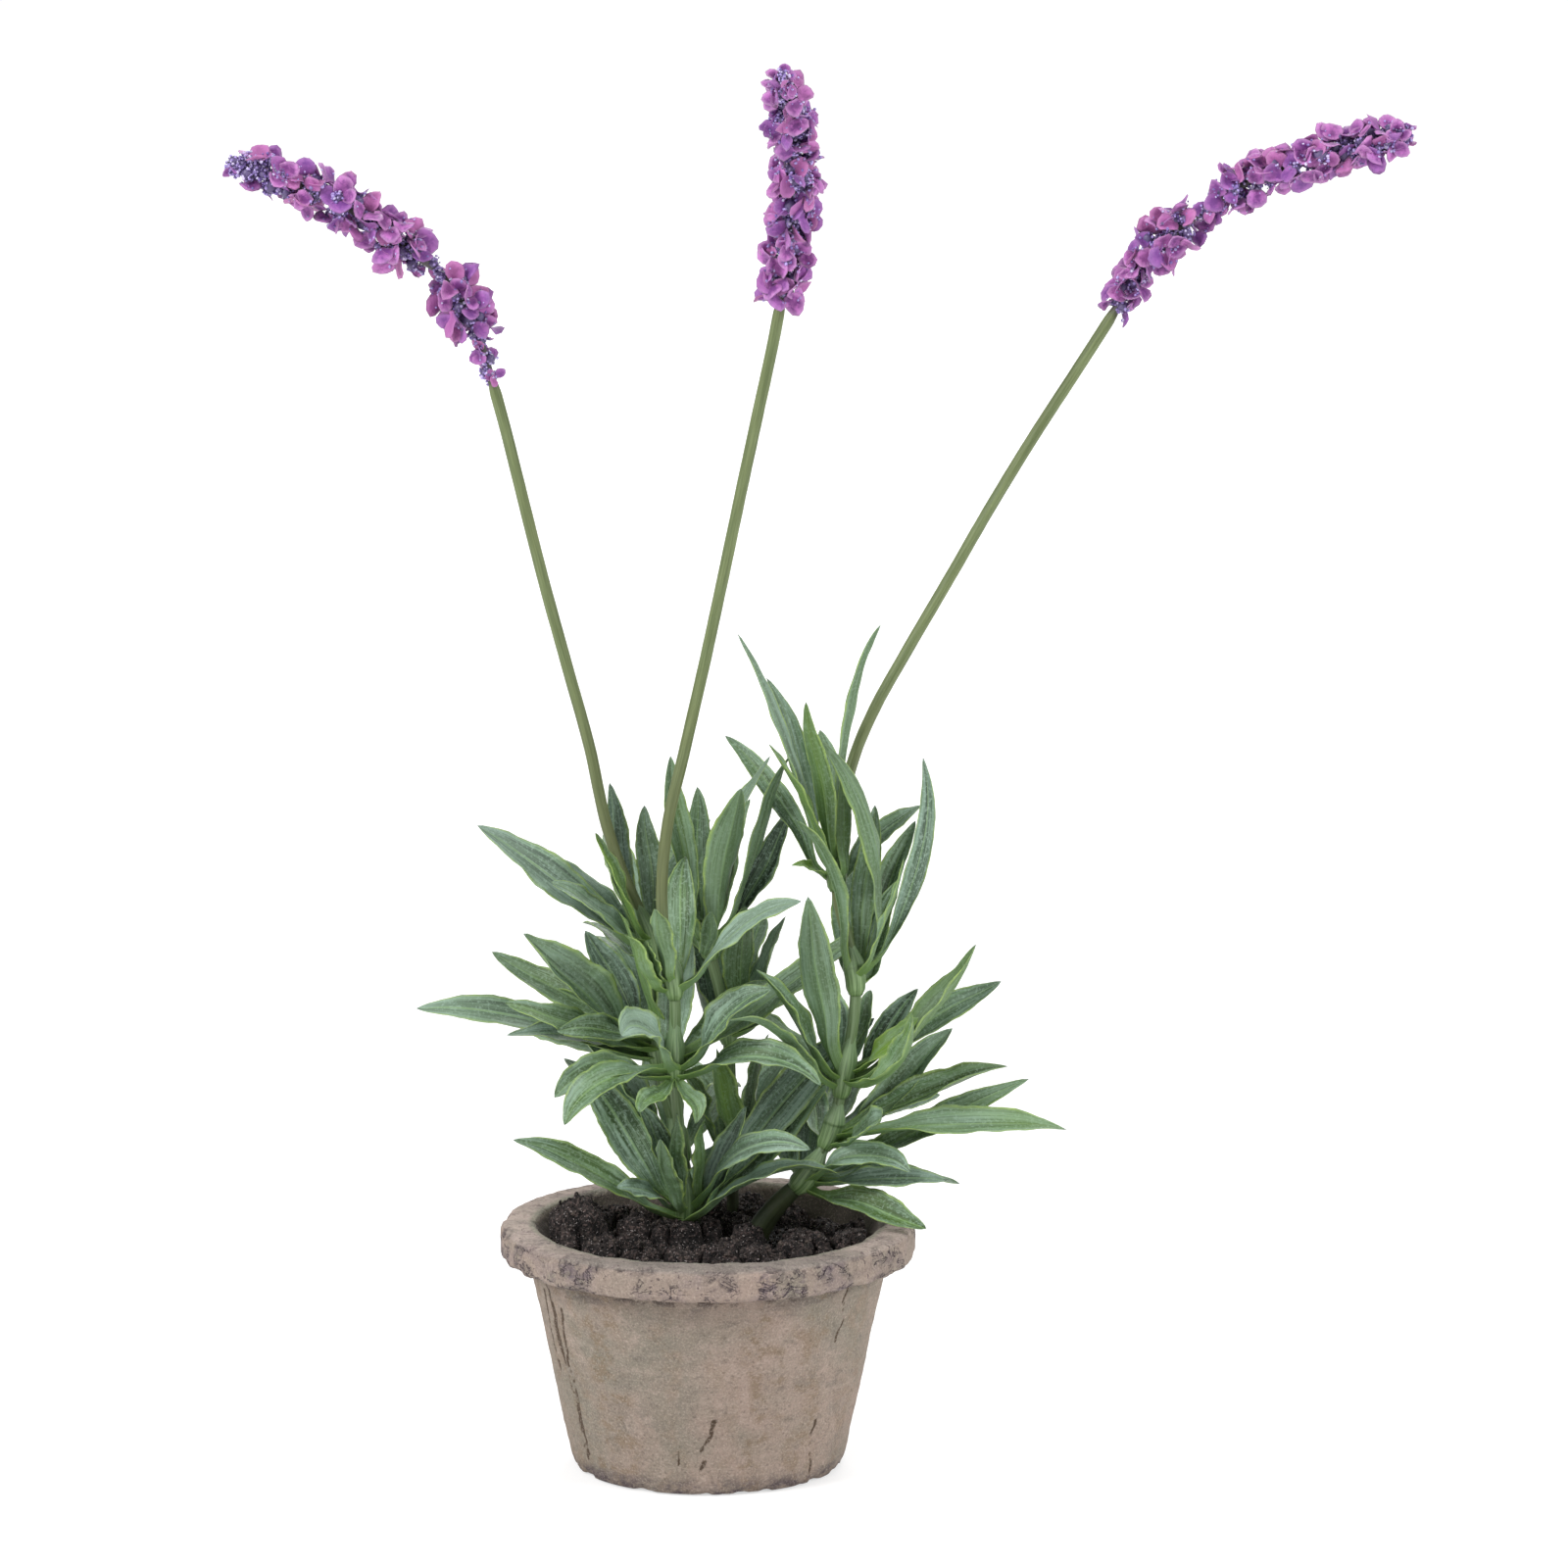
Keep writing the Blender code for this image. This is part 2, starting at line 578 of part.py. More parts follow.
# The first way for a leaf that clears everything around it. Where a leaf has no room at its
# full length, a shorter one grows there.
def placeLeaf(leaf, seats, choices, centre, ahead, tiers, collar, placed, obstacles, turns):
    bearing, lift, length, bow, turn, width = leaf
    for share in (1.0, 0.85, 0.7, 0.55, 0.4):
        for rank, place in enumerate(choices):
            seat = seats[place]
            outward = seat["middle"] - centre
            outward = unit(outward - ahead * (outward @ ahead))
            knee = kneeReach * (1 + 0.6 * (tiers - 1 - seat["tier"]))
            foot = seat["middle"] + outward * knee
            kneeRing = [foot + (corner - seat["middle"]) * 0.7 for corner in seat["corners"]]
            stub = [seat["middle"] + outward * 0.0001 + (corner - seat["middle"]) * 0.85
                    for corner in seat["corners"]]
            for sideways, upward in turns[:110 if rank < 2 else 45]:
                heading = math.radians(bearing + sideways)
                rise = math.radians(lift + upward)
                tip = centre + bearingVector(heading, rise) * length * mm * share
                if np.linalg.norm(tip - foot) < 0.005:
                    continue
                shape = (foot, tip, heading, math.radians(bow), math.radians(turn), width * mm)
                swept = bladeTree(*leafRings(*shape, grow=leafClearance))
                if any(swept.overlap(other) for other in obstacles):
                    continue
                rings, point = leafRings(*shape)
                shift = min(range(4), key=lambda by: sum(
                    np.linalg.norm(kneeRing[n] - rings[0][(n + by) % 4]) for n in range(4)))
                rings = [kneeRing] + [[ring[(n + shift) % 4] for n in range(4)] for ring in rings]
                own = bladeTree([stub] + rings, point)
                if own.overlap(collar) or any(own.overlap(other) for other in placed + obstacles):
                    continue
                return place, rings, point, own
    return None


def makeWhorl(name, spec, path, obstacles, turns):
    leaves = spec["leaves"]
    centre, ahead, outer, inner, tiers = collarShape(path, spec["height"], len(leaves))
    seats = collarSeats(centre, outer, tiers)
    points, loops = [], []
    for ring in outer + inner:
        loops.append(range(len(points), len(points) + collarSides))
        points += ring
    faces = []
    for first, second in zip(loops, loops[1:] + loops[:1]):
        joinRings(first, second, faces)
    collar = treeOf(points, faces[2 * collarSides * tiers:])
    placed, taken, blades = [], set(), []
    for leaf in leaves:
        choices = seatsFor(leaf, seats, taken, tiers)
        found = placeLeaf(leaf, seats, choices, centre, ahead, tiers, collar, placed,
                          obstacles, turns)
        if found is None:
            print("no free way for a leaf of", name, leaf)
            continue
        place, rings, point, own = found
        taken.add(place)
        placed.append(own)
        tier, step = seats[place]["tier"], seats[place]["step"]
        after = (step + 1) % collarSides
        leafLoops = [[loops[tier][step], loops[tier][after],
                      loops[tier + 1][after], loops[tier + 1][step]]]
        for ring in rings:
            leafLoops.append(range(len(points), len(points) + 4))
            points += ring
        points.append(point)
        leafFaces(leafLoops, len(points) - 1, blades)
    # a side face that carries a leaf is open, because the leaf closes it
    carrying = {2 * (seats[place]["tier"] * collarSides + seats[place]["step"]) for place in taken}
    faces = [face for number, face in enumerate(faces)
             if number - number % 2 not in carrying] + blades
    makeObject("leaves_" + name, points, faces, "leaf")
    return treeOf(points, faces)


# ---- florets --------------------------------------------------------------------------------

# A bumpy cluster round the stalk. The one at the tip closes over the stalk's end.
def makeFlorets(name, path, start, end, radius, closed, phase):
    tip = path["length"]
    low, high = tip - end * mm, tip - start * mm
    bore = (path["radius"](low) + floretGap) / math.cos(math.pi / floretSides)
    if closed:
        outline = ((0.0, 0.5), (0.2, 1.0), (0.5, 0.95), (0.8, 0.6))
    else:
        outline = ((0.0, 0.55), (0.25, 0.95), (0.6, 1.0), (1.0, 0.5))
    points, loops = [], []

    def addRing(distance, ringRadius, bumps):
        centre, ahead, side = pathFrame(path, distance)
        other = np.cross(ahead, side)
        loops.append(range(len(points), len(points) + floretSides))
        for step in range(floretSides):
            turn = 2 * math.pi * step / floretSides
            wave = 1 + bumps * math.cos(math.pi * (step + len(loops) + phase))
            points.append(centre + ringRadius * wave * (math.cos(turn) * side + math.sin(turn) * other))

    stops = np.linspace(low, min(high, tip - 0.0012) if closed else high, 4)
    for distance in reversed(stops):
        addRing(distance, bore, 0)
    for share, wide in outline:
        addRing(low + (high - low) * share, max(radius * mm * wide, bore + floretWall), 0.10)
    faces = []
    for first, second in zip(loops, loops[1:]):
        joinRings(first, second, faces)
    if closed:
        inside, ahead, side = pathFrame(path, stops[-1])
        points.append(inside + ahead * 0.0006)
        outside, ahead, side = pathFrame(path, tip)
        points.append(outside + ahead * 0.0012)
        for step in range(floretSides):
            after = (step + 1) % floretSides
            faces.append((len(points) - 2, loops[0][after], loops[0][step]))
            faces.append((len(points) - 1, loops[-1][step], loops[-1][after]))
    else:
        joinRings(loops[-1], loops[0], faces)
    makeObject("florets_" + name, points, faces, "petal")


# ---- the object -----------------------------------------------------------------------------

clearScene()
pot = makePot()
paths = {name: smoothPath(spec["points"], stemRadius, spec["rootRadius"])
         for name, spec in stems.items()}
makeSoil(paths)

potPoints = [vert.co.copy() for vert in pot.data.vertices]
potFaces = [tuple(face.vertices) for face in pot.data.polygons]
obstacles = [treeOf(potPoints, potFaces)]
soilMesh = bpy.data.objects["soil"].data
obstacles.append(treeOf([vert.co.copy() for vert in soilMesh.vertices],
                        [tuple(face.vertices) for face in soilMesh.polygons]))
for name, path in paths.items():
    stations, rings = stemRings(path)
    makeTube("stem_" + name, rings, "stem", stemSides)
    points, faces = tubeMesh(rings, stemSides)
    obstacles.append(treeOf(points, faces))

# the collars are in the way of every leaf, also of those placed before them
for name, spec in whorls.items():
    centre, ahead, outer, inner, tiers = collarShape(paths[spec["stem"]], spec["height"],
                                                     len(spec["leaves"]))
    points, faces = [], []
    loops = []
    for ring in outer:
        loops.append(range(len(points), len(points) + collarSides))
        points += ring
    for first, second in zip(loops, loops[1:]):
        joinRings(first, second, faces)
    spec["collar"] = treeOf(points, faces)

turns = smallTurns()
placedWhorls = []
for name, spec in whorls.items():
    others = [other["collar"] for key, other in whorls.items() if key != name]
    placedWhorls.append(makeWhorl(name, spec, paths[spec["stem"]],
                                  obstacles + others + placedWhorls, turns))

for stalk, clusters in florets.items():
    for number, (start, end, radius) in enumerate(clusters, 1):
        makeFlorets(stalk + "_" + str(number), paths[stalk], start, end, radius,
                    start == 0, number)
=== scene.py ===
import math
import bpy
import numpy as np
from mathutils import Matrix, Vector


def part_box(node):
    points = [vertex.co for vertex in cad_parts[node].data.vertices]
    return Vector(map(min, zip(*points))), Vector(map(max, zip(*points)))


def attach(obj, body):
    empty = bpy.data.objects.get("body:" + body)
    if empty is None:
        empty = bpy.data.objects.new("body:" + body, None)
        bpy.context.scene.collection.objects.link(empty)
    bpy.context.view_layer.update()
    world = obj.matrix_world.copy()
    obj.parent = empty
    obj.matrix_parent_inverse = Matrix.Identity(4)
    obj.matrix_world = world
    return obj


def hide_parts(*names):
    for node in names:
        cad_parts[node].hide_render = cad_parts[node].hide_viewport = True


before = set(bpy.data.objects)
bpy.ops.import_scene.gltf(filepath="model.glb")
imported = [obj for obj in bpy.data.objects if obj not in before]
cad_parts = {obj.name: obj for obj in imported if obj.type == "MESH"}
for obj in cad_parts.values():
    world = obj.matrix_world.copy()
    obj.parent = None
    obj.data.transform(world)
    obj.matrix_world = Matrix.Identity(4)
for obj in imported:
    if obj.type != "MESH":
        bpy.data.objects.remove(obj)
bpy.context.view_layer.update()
mm = 0.001
print("frame loaded:", len(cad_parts), "nodes")


# Small things that every piece uses

def nodeMesh(name):
    # A CAD node's corner points, its triangles and its edges both ways, with points that coincide made one
    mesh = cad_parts[name].data
    points = np.empty(len(mesh.vertices) * 3)
    mesh.vertices.foreach_get("co", points)
    mesh.calc_loop_triangles()
    triangles = np.empty(len(mesh.loop_triangles) * 3, int)
    mesh.loop_triangles.foreach_get("vertices", triangles)
    _, first, place = np.unique(np.round(points.reshape(-1, 3) / (0.002 * mm)), axis=0,
                                return_index=True, return_inverse=True)
    triangles = place.ravel()[triangles].reshape(-1, 3)
    edges = np.concatenate([triangles[:, [0, 1]], triangles[:, [1, 2]], triangles[:, [2, 0]]])
    edges = np.unique(np.concatenate([edges, edges[:, ::-1]]), axis=0)
    return points.reshape(-1, 3)[first], triangles, edges


def layersFrom(start, edges, count):
    # The sets of points one, two, three and more edges away from a start point
    seen = np.zeros(edges.max() + 1, bool)
    seen[start] = True
    layer, layers = np.array([start]), []
    for _ in range(count):
        layer = np.unique(edges[np.isin(edges[:, 0], layer), 1])
        layer = layer[~seen[layer]]
        seen[layer] = True
        layers.append(layer)
    return layers


def lengthsAlong(rows):
    # How far along a line each of its rows is
    return np.concatenate([[0], np.cumsum(np.linalg.norm(np.diff(rows[:, :3], axis=0), axis=1))])


def steady(rows, shares):
    # The fourth column of the rows, such as a radius, carried straight from row to row
    knots = lengthsAlong(rows)
    return np.maximum(np.interp(shares, knots / knots[-1], rows[:, 3]), 0.2 * mm)


def circle(count):
    return np.linspace(0, 2 * math.pi, count, endpoint=False)


def unit(vectors):
    return vectors / np.maximum(np.linalg.norm(vectors, axis=-1, keepdims=True), 1e-12)


def smoothLine(rows, shares):
    # Cubic pieces through the rows, with slopes from their neighbours. Shares run from 0 to 1 along the
    # line; the first three columns are its place, and any others are carried with it.
    rows = np.asarray(rows, float)
    knots = lengthsAlong(rows)
    slopes = np.gradient(rows, knots, axis=0)
    at = np.asarray(shares) * knots[-1]
    k = np.clip(np.searchsorted(knots, at, side="right") - 1, 0, len(rows) - 2)
    span = (knots[k + 1] - knots[k])[:, None]
    t = (at - knots[k])[:, None] / span
    return ((2 * t**3 - 3 * t**2 + 1) * rows[k] + (t**3 - 2 * t**2 + t) * span * slopes[k]
            + (3 * t**2 - 2 * t**3) * rows[k + 1] + (t**3 - t**2) * span * slopes[k + 1])


def smoothStep(value, low, high):
    t = np.clip((value - low) / (high - low), 0, 1)
    return t * t * (3 - 2 * t)


def lumps(points, size, seed):
    # Smooth random values from -1 to 1: a lattice of random numbers, blended between its corners
    table = np.random.default_rng(seed).random(8192) * 2 - 1
    cell = np.floor(points / size).astype(np.int64)
    part = points / size - cell
    part = part * part * (3 - 2 * part)
    total = np.zeros(len(points))
    for corner in np.ndindex(2, 2, 2):
        x, y, z = (cell + corner).T
        index = ((x * 73856093) ^ (y * 19349663) ^ (z * 83492791)) & 8191
        total += table[index] * np.prod(np.where(corner, part, 1 - part), axis=1)
    return total


def layered(points, *layers):
    # Lumps of several sizes added up. Each has its size in mm, its seed and its strength.
    return sum(lumps(points, size * mm, seed) * strength for size, seed, strength in layers)


def sizes(rng, low, high, power, count=None):
    # Random sizes, more of them small the higher the power
    return low + (high - low) * rng.random(count) ** power


def around(centre, reach, turn, z):
    # Points at a reach and bearing from an upright line through a centre, at height z
    return np.stack(np.broadcast_arrays(centre[0] + reach * np.cos(turn), centre[1] + reach * np.sin(turn),
                                        z), -1)


def gridQuads(rows, columns, closedRows=False):
    # Four-sided faces between neighbouring points of a grid. Its last column meets its first, and so
    # does its last row when the rows are closed.
    r = np.arange(rows if closedRows else rows - 1)[:, None]
    c = np.arange(columns)[None, :]
    r2, c2 = (r + 1) % rows, (c + 1) % columns
    return np.stack([r * columns + c, r * columns + c2, r2 * columns + c2, r2 * columns + c],
                    axis=-1).reshape(-1, 4)


def outward(points, quads, triangles):
    # Turns the faces round if the closed shape they make has a negative volume
    every = np.concatenate([quads[:, [0, 1, 2]], quads[:, [0, 2, 3]], triangles.reshape(-1, 3)])
    a, b, c = (points[every[:, k]] for k in range(3))
    if np.einsum("ij,ij->i", a - points.mean(0), np.cross(b - a, c - a)).sum() < 0:
        return quads[:, ::-1], triangles.reshape(-1, 3)[:, ::-1]
    return quads, triangles.reshape(-1, 3)


def capped(grid):
    # A tube from a grid of rows of points, each end closed by a fan to a point in its middle
    rows, columns = grid.shape[:2]
    points = np.concatenate([grid.reshape(-1, 3), grid[:1].mean(1), grid[-1:].mean(1)])
    c = np.arange(columns)
    c2, last = (c + 1) % columns, (rows - 1) * columns
    fans = np.concatenate([np.stack([c2, c, 0 * c + rows * columns], -1),
                           np.stack([last + c, last + c2, 0 * c + rows * columns + 1], -1)])
    return points, gridQuads(rows, columns), fans


def shell(points, quads, triangles=np.empty((0, 3), int), uv=None, marks=None, material=0):
    # One closed shape of a piece. Marks are named numbers or colours on its points.
    quads, triangles = outward(points, quads, triangles)
    return dict(points=points, quads=quads, triangles=triangles, material=material, marks=marks or {},
                uv=np.zeros((len(points), 2)) if uv is None else uv)


def copies(forms, quads, triangles, tone, material=0):
    # A shell of many closed copies of one form. Tone has a colour for each copy or for each of its points.
    count, size = forms.shape[:2]
    start = (np.arange(count) * size)[:, None, None]
    return shell(forms.reshape(-1, 3), (quads[None] + start).reshape(-1, 4),
                 (triangles[None] + start).reshape(-1, 3), material=material,
                 marks={"tone": np.broadcast_to(tone, (count, size, 4)).reshape(-1, 4)})


def makePiece(name, shells, nodes, materials):
    # Joins closed shapes into one object that rides on the root body and stands for its CAD nodes
    points, faces, uv, place, start = [], [], [], [], 0
    for part in shells:
        points.append(part["points"])
        uv.append(part["uv"])
        faces += (part["quads"] + start).tolist() + (part["triangles"] + start).tolist()
        place.append(np.full(len(part["quads"]) + len(part["triangles"]), part["material"]))
        start += len(part["points"])
    mesh = bpy.data.meshes.new(name)
    mesh.from_pydata(np.concatenate(points).tolist(), [], faces)
    corners = np.empty(len(mesh.loops), int)
    mesh.loops.foreach_get("vertex_index", corners)
    layer = mesh.uv_layers.new(name="surface")
    layer.data.foreach_set("uv", np.concatenate(uv)[corners].ravel())
    for label in shells[0]["marks"]:
        values = np.concatenate([part["marks"][label] for part in shells])
        kind, key = ("FLOAT_COLOR", "color") if values.ndim == 2 else ("FLOAT", "value")
        mesh.attributes.new(label, kind, "POINT").data.foreach_set(key, values.ravel())
    for material in materials:
        mesh.materials.append(material)
    mesh.polygons.foreach_set("material_index", np.concatenate(place))
    mesh.polygons.foreach_set("use_smooth", np.ones(len(mesh.polygons), bool))
    mesh.update()
    piece = bpy.data.objects.new(name, mesh)
    bpy.context.scene.collection.objects.link(piece)
    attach(piece, "root")
    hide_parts(*nodes)


# Shader helpers. Each adds its nodes to the tree that the name tree stands for at that time.

def tint(red, green, blue):
    # A screen colour, 0 to 255, as the light values that a shader mixes
    value = np.array([red, green, blue]) / 255
    value = np.where(value <= 0.04045, value / 12.92, ((value + 0.055) / 1.055) ** 2.4)
    return (*value.tolist(), 1.0)


def addNode(kind, inputs, **settings):
    # Inputs are linked if they are sockets of other nodes, and set if they are numbers
    made = tree.nodes.new("ShaderNode" + kind)
    for key, value in settings.items():
        setattr(made, key, value)
    for key, value in inputs.items():
        if isinstance(value, bpy.types.NodeSocket):
            tree.links.new(value, made.inputs[key])
        else:
            made.inputs[key].default_value = value
    return made.outputs


def sums(operation, first, second=0.0, clamp=False):
    return addNode("Math", {0: first, 1: second}, operation=operation, use_clamp=clamp)[0]


def times(first, *others):
    # All of them multiplied
    for other in others:
        first = sums("MULTIPLY", first, other)
    return first


def fade(value, low, high, start=0.0, end=1.0):
    # Goes smoothly from start to end while the value goes from low to high
    return addNode("MapRange", {"Value": value, "From Min": low, "From Max": high, "To Min": start,
                                "To Max": end}, interpolation_type="SMOOTHSTEP")[0]


def blend(share, first, second):
    # The first colour where the share is 0, the second where it is 1
    return addNode("Mix", {0: share, 6: first, 7: second}, data_type="RGBA")[2]


def coats(skin, *layers):
    # Colours laid over each other. A layer is a mask and the colour shown where the mask is 1.
    for mask, *colour in layers:
        skin = blend(mask, skin, tint(*colour) if len(colour) == 3 else colour[0])
    return skin


def noise(place, scale, detail=3.0, roughness=0.55, warp=0.0):
    return addNode("TexNoise", {"Vector": place, "Scale": scale, "Detail": detail, "Roughness": roughness,
                                "Distortion": warp})[0]


def stretched(place, scale, turn=(0, 0, 0), shift=(0, 0, 0)):
    return addNode("Mapping", {"Vector": place, "Scale": scale, "Rotation": turn, "Location": shift})[0]


def mark(label):
    # A value that the shapes carry on their points
    return addNode("Attribute", {}, attribute_name=label)


def toneParts():
    # The four numbers of the points' tone colour
    kept = mark("tone")
    return (*addNode("SeparateColor", {0: kept[0]}), kept["Alpha"])


def newMaterial(name, specular, **shared):
    # A material whose shader's uniform numbers are set on its own sockets
    material = bpy.data.materials.new(name)
    material.use_nodes = True
    tree = material.node_tree
    tree.nodes.clear()
    shader = tree.nodes.new("ShaderNodeBsdfPrincipled")
    tree.links.new(shader.outputs[0], tree.nodes.new("ShaderNodeOutputMaterial").inputs[0])
    for key, value in {"Specular IOR Level": specular, **shared}.items():
        shader.inputs[key].default_value = value
    place = tree.nodes.new("ShaderNodeTexCoord").outputs["Object"]
    return material, tree, shader, place


def dress(skin, roughness, relief, depth, strength):
    # Gives the shader at hand its colour, its roughness and a fine relief
    normal = addNode("Bump", {"Height": relief, "Distance": depth, "Strength": strength})[0]
    for key, value in (("Base Color", skin), ("Roughness", roughness), ("Normal", normal)):
        tree.links.new(value, shader.inputs[key])


def newGroup(name, inputs, outputs):
    # A node group that takes a place and numbers, and gives numbers
    group = bpy.data.node_groups.new(name, "ShaderNodeTree")
    for label in inputs:
        group.interface.new_socket(label, in_out="INPUT", socket_type="NodeSocketVector" if label == "Place"
                                   else "NodeSocketFloat")
    for label in outputs:
        group.interface.new_socket(label, in_out="OUTPUT", socket_type="NodeSocketFloat")
    return group, group.nodes.new("NodeGroupInput").outputs[:len(inputs)], group.nodes.new("NodeGroupOutput")


# Grain: pits and specks of one size, for clay, earth and petals
tree, (place, scale, spread), leave = newGroup("grain", ("Place", "Scale", "Spread"), ("Mask", "Height"))
grain = tree
fine = noise(place, scale, 2.0, 0.6)
cells = addNode("TexVoronoi", {"Vector": place, "Scale": scale})[0]
specks = fade(sums("ADD", cells, times(fine, spread)), 0.25, 0.75, 1.0, 0.0)
tree.links.new(specks, leave.inputs[0])
tree.links.new(sums("SUBTRACT", fine, times(specks, 0.6)), leave.inputs[1])

# Mottle: soft patches with ragged edges, for clay, leaves and stems
tree, (place, scale, edge, level), leave = newGroup("mottle", ("Place", "Scale", "Edge", "Level"), ("Mask",))
mottle = tree
wide = noise(place, scale, 5.0, 0.62, 0.6)
tree.links.new(fade(wide, sums("SUBTRACT", level, edge), sums("ADD", level, edge)), leave.inputs[0])


def grained(place, scale, spread):
    return addNode("Group", {"Place": place, "Scale": scale, "Spread": spread}, node_tree=grain)


def mottled(place, scale, edge, level):
    return addNode("Group", {"Place": place, "Scale": scale, "Edge": edge, "Level": level},
                   node_tree=mottle)[0]


print("helpers and shared shader groups ready")


# Stems: rings of points read from the CAD node, from foot to tip, then a finer ridged tube

# Thinned: how much thinner a stalk is within its spike. It changes between a distance before the spike's
# foot and a distance after it.
stemLook = dict(columns=20, step=1.3 * mm, ridges=4, ridgeDepth=0.05, roughness=0.035 * mm, lump=1.6 * mm,
                thinned=0.4, before=6 * mm, after=2 * mm, lastRing=400)


def readStem(name):
    # Rows of x, y, z and radius along a stem, from its lower end up
    points, _, edges = nodeMesh(name)
    ends = [k for k in np.flatnonzero(np.bincount(edges[:, 0]) == 8)
            if len(layersFrom(k, edges, 2)[1]) == 8]
    foot = min(ends, key=lambda k: points[k][2])
    rows = [[*points[foot], 0.0]]
    for layer in layersFrom(foot, edges, stemLook["lastRing"]):
        if not len(layer):
            break
        middle = points[layer].mean(0)
        rows.append([*middle, np.linalg.norm(points[layer] - middle, axis=1).mean()])
    return np.array(rows)


def frames(line):
    # Direction of a line at each point, and two directions across it that turn as little as they can
    ahead = unit(np.gradient(line, axis=0))
    across = np.empty_like(ahead)
    across[0] = unit(np.cross(ahead[0], [0.0, 1.0, 0.0]))
    for k in range(1, len(line)):
        across[k] = unit(across[k - 1] - ahead[k] * (across[k - 1] @ ahead[k]))
    return ahead, across, np.cross(ahead, across)


def stemShell(rows, seed, spikeLength):
    # A circle carried along the stem, its radius swelling a little at each ridge
    length = np.linalg.norm(np.diff(rows[:, :3], axis=0), axis=1).sum()
    share = np.linspace(0, 1, int(length / stemLook["step"]))
    line, radius = smoothLine(rows, share)[:, :3], steady(rows, share)
    if spikeLength:
        left = (1 - share) * length
        radius = radius * (1 - stemLook["thinned"] * (1 - smoothStep(
            left, spikeLength - stemLook["before"], spikeLength + stemLook["after"])))
    _, across, other = frames(line)
    turn = circle(stemLook["columns"])
    ridged = 1 + stemLook["ridgeDepth"] * np.cos(stemLook["ridges"] * turn)
    grid = line[:, None] + radius[:, None, None] * ridged[None, :, None] * (
        across[:, None] * np.cos(turn)[None, :, None] + other[:, None] * np.sin(turn)[None, :, None])
    flat = grid.reshape(-1, 3)
    push = lumps(flat * [1, 1, 0.35], stemLook["lump"], seed) * stemLook["roughness"]
    grid = grid + (unit(grid - line[:, None]) * push.reshape(grid.shape[:2])[..., None])
    points, quads, fans = capped(grid)
    along = np.linspace(0, 1, len(line))
    marks = np.concatenate([np.repeat(along, len(turn)), [0, 1]])
    uv = np.stack([np.concatenate([np.tile(turn / (2 * math.pi), len(line)), [0, 0]]), marks * length], -1)
    inSpike = 1 - smoothStep((1 - marks) * length, spikeLength - 4 * mm, spikeLength)
    return shell(points, quads, fans, uv, {"inSpike": inSpike if spikeLength else 0 * marks})


stemNames = ("front", "left", "right", "back")
spikeLengths = dict(front=88 * mm, left=106 * mm, right=104 * mm, back=0)
stemRows = {name: readStem("stem_" + name) for name in stemNames}

stemSkin, tree, shader, place = newMaterial("stemSkin", 0.4)
height = addNode("SeparateXYZ", {0: place})[2]
surface = addNode("UVMap", {}, uv_map="surface")[0]
lines = noise(stretched(surface, (16, 40, 1)), 1.0)
streaks = fade(lines, 0.3, 0.7)
patch = mottled(place, 70.0, 0.2, 0.52)
low = fade(height, 0.17, 0.24, 1.0, 0.0)  # brownish where the stems stand among the leaves
among = fade(height, 0.135, 0.175, 1.0, 0.0)
deep = fade(height, 0.074, 0.100, 1.0, 0.0)  # dark, nearly black, towards the soil
green = coats(blend(streaks, tint(84, 98, 60), tint(118, 130, 88)),
              (times(patch, 0.35), 96, 104, 60), (times(low, 0.5), 82, 84, 50),
              (times(among, 0.85), blend(streaks, tint(74, 98, 56), tint(118, 140, 104))),
              (times(deep, 0.9), blend(patch, tint(24, 33, 18), tint(50, 54, 30))),
              (times(mark("inSpike")["Fac"], 0.85), 74, 66, 74))
dress(green, fade(lines, 0.2, 0.8, 0.42, 0.62), lines, 0.12 * mm, 0.7)
for number, name in enumerate(stemNames):
    makePiece("stalk_" + name, [stemShell(stemRows[name], number, spikeLengths[name])], ["stem_" + name],
              [stemSkin])
print("stems made")


# Leaves: each is read from its CAD rings as a row of middles, half widths and directions across, and
# made again as a thin channelled blade; the collars that hold them become fine ribbed tubes

# Foot is the channel's depth at the blade's foot in half widths, twist and sway are spreads in radians
leafLook = dict(rows=40, edge=0.20 * mm, middle=0.34 * mm, groove=0.15 * mm, keel=0.26 * mm,
                furrow=0.13 * mm, furrows=5, ripple=0.11, wander=1.0 * mm, curl=2.6 * mm, curlFrom=0.72,
                ragged=0.035, twist=0.32, sway=0.12, foot=0.75, stalk=0.4 * mm, margin=0.07 * mm,
                thinTip=0.55, leastHalf=0.06 * mm, fullWidth=4 * mm, seat=0.55, seatLow=0.2, stemSteps=400)
leafOutline = ((0, 0.1, 0.2, 0.32, 0.44, 0.54, 0.66, 0.76, 0.86, 0.93, 0.98, 1),
               (0.40, 0.42, 0.56, 0.78, 0.95, 1, 0.93, 0.78, 0.55, 0.34, 0.16, 0.03))
acrossShares = np.array([0, 0.05, 0.14, 0.28, 0.44, 0.6, 0.75, 0.87, 0.95, 1.0])
acrossShares = np.concatenate([-acrossShares[:0:-1], acrossShares])
collarLook = dict(rows=24, columns=60, steps=600, wall=0.45 * mm, sheath=0.6, ribs=8, rib=0.012,
                  corner=0.035, scallop=0.3 * mm, gap=0.55 * mm)
nearlyRound = 6.28  # the reach of random starting angles


def pathUp(stem, height):
    # A stem's place and direction at a height above its foot
    rows = stemRows[stem]
    line = smoothLine(rows, np.linspace(0, 1, leafLook["stemSteps"]))[:, :3]
    k = int(np.argmin(np.abs(line[:, 2] - height)))
    return line[k], unit(line[min(k + 4, len(line) - 1)] - line[max(k - 4, 0)])


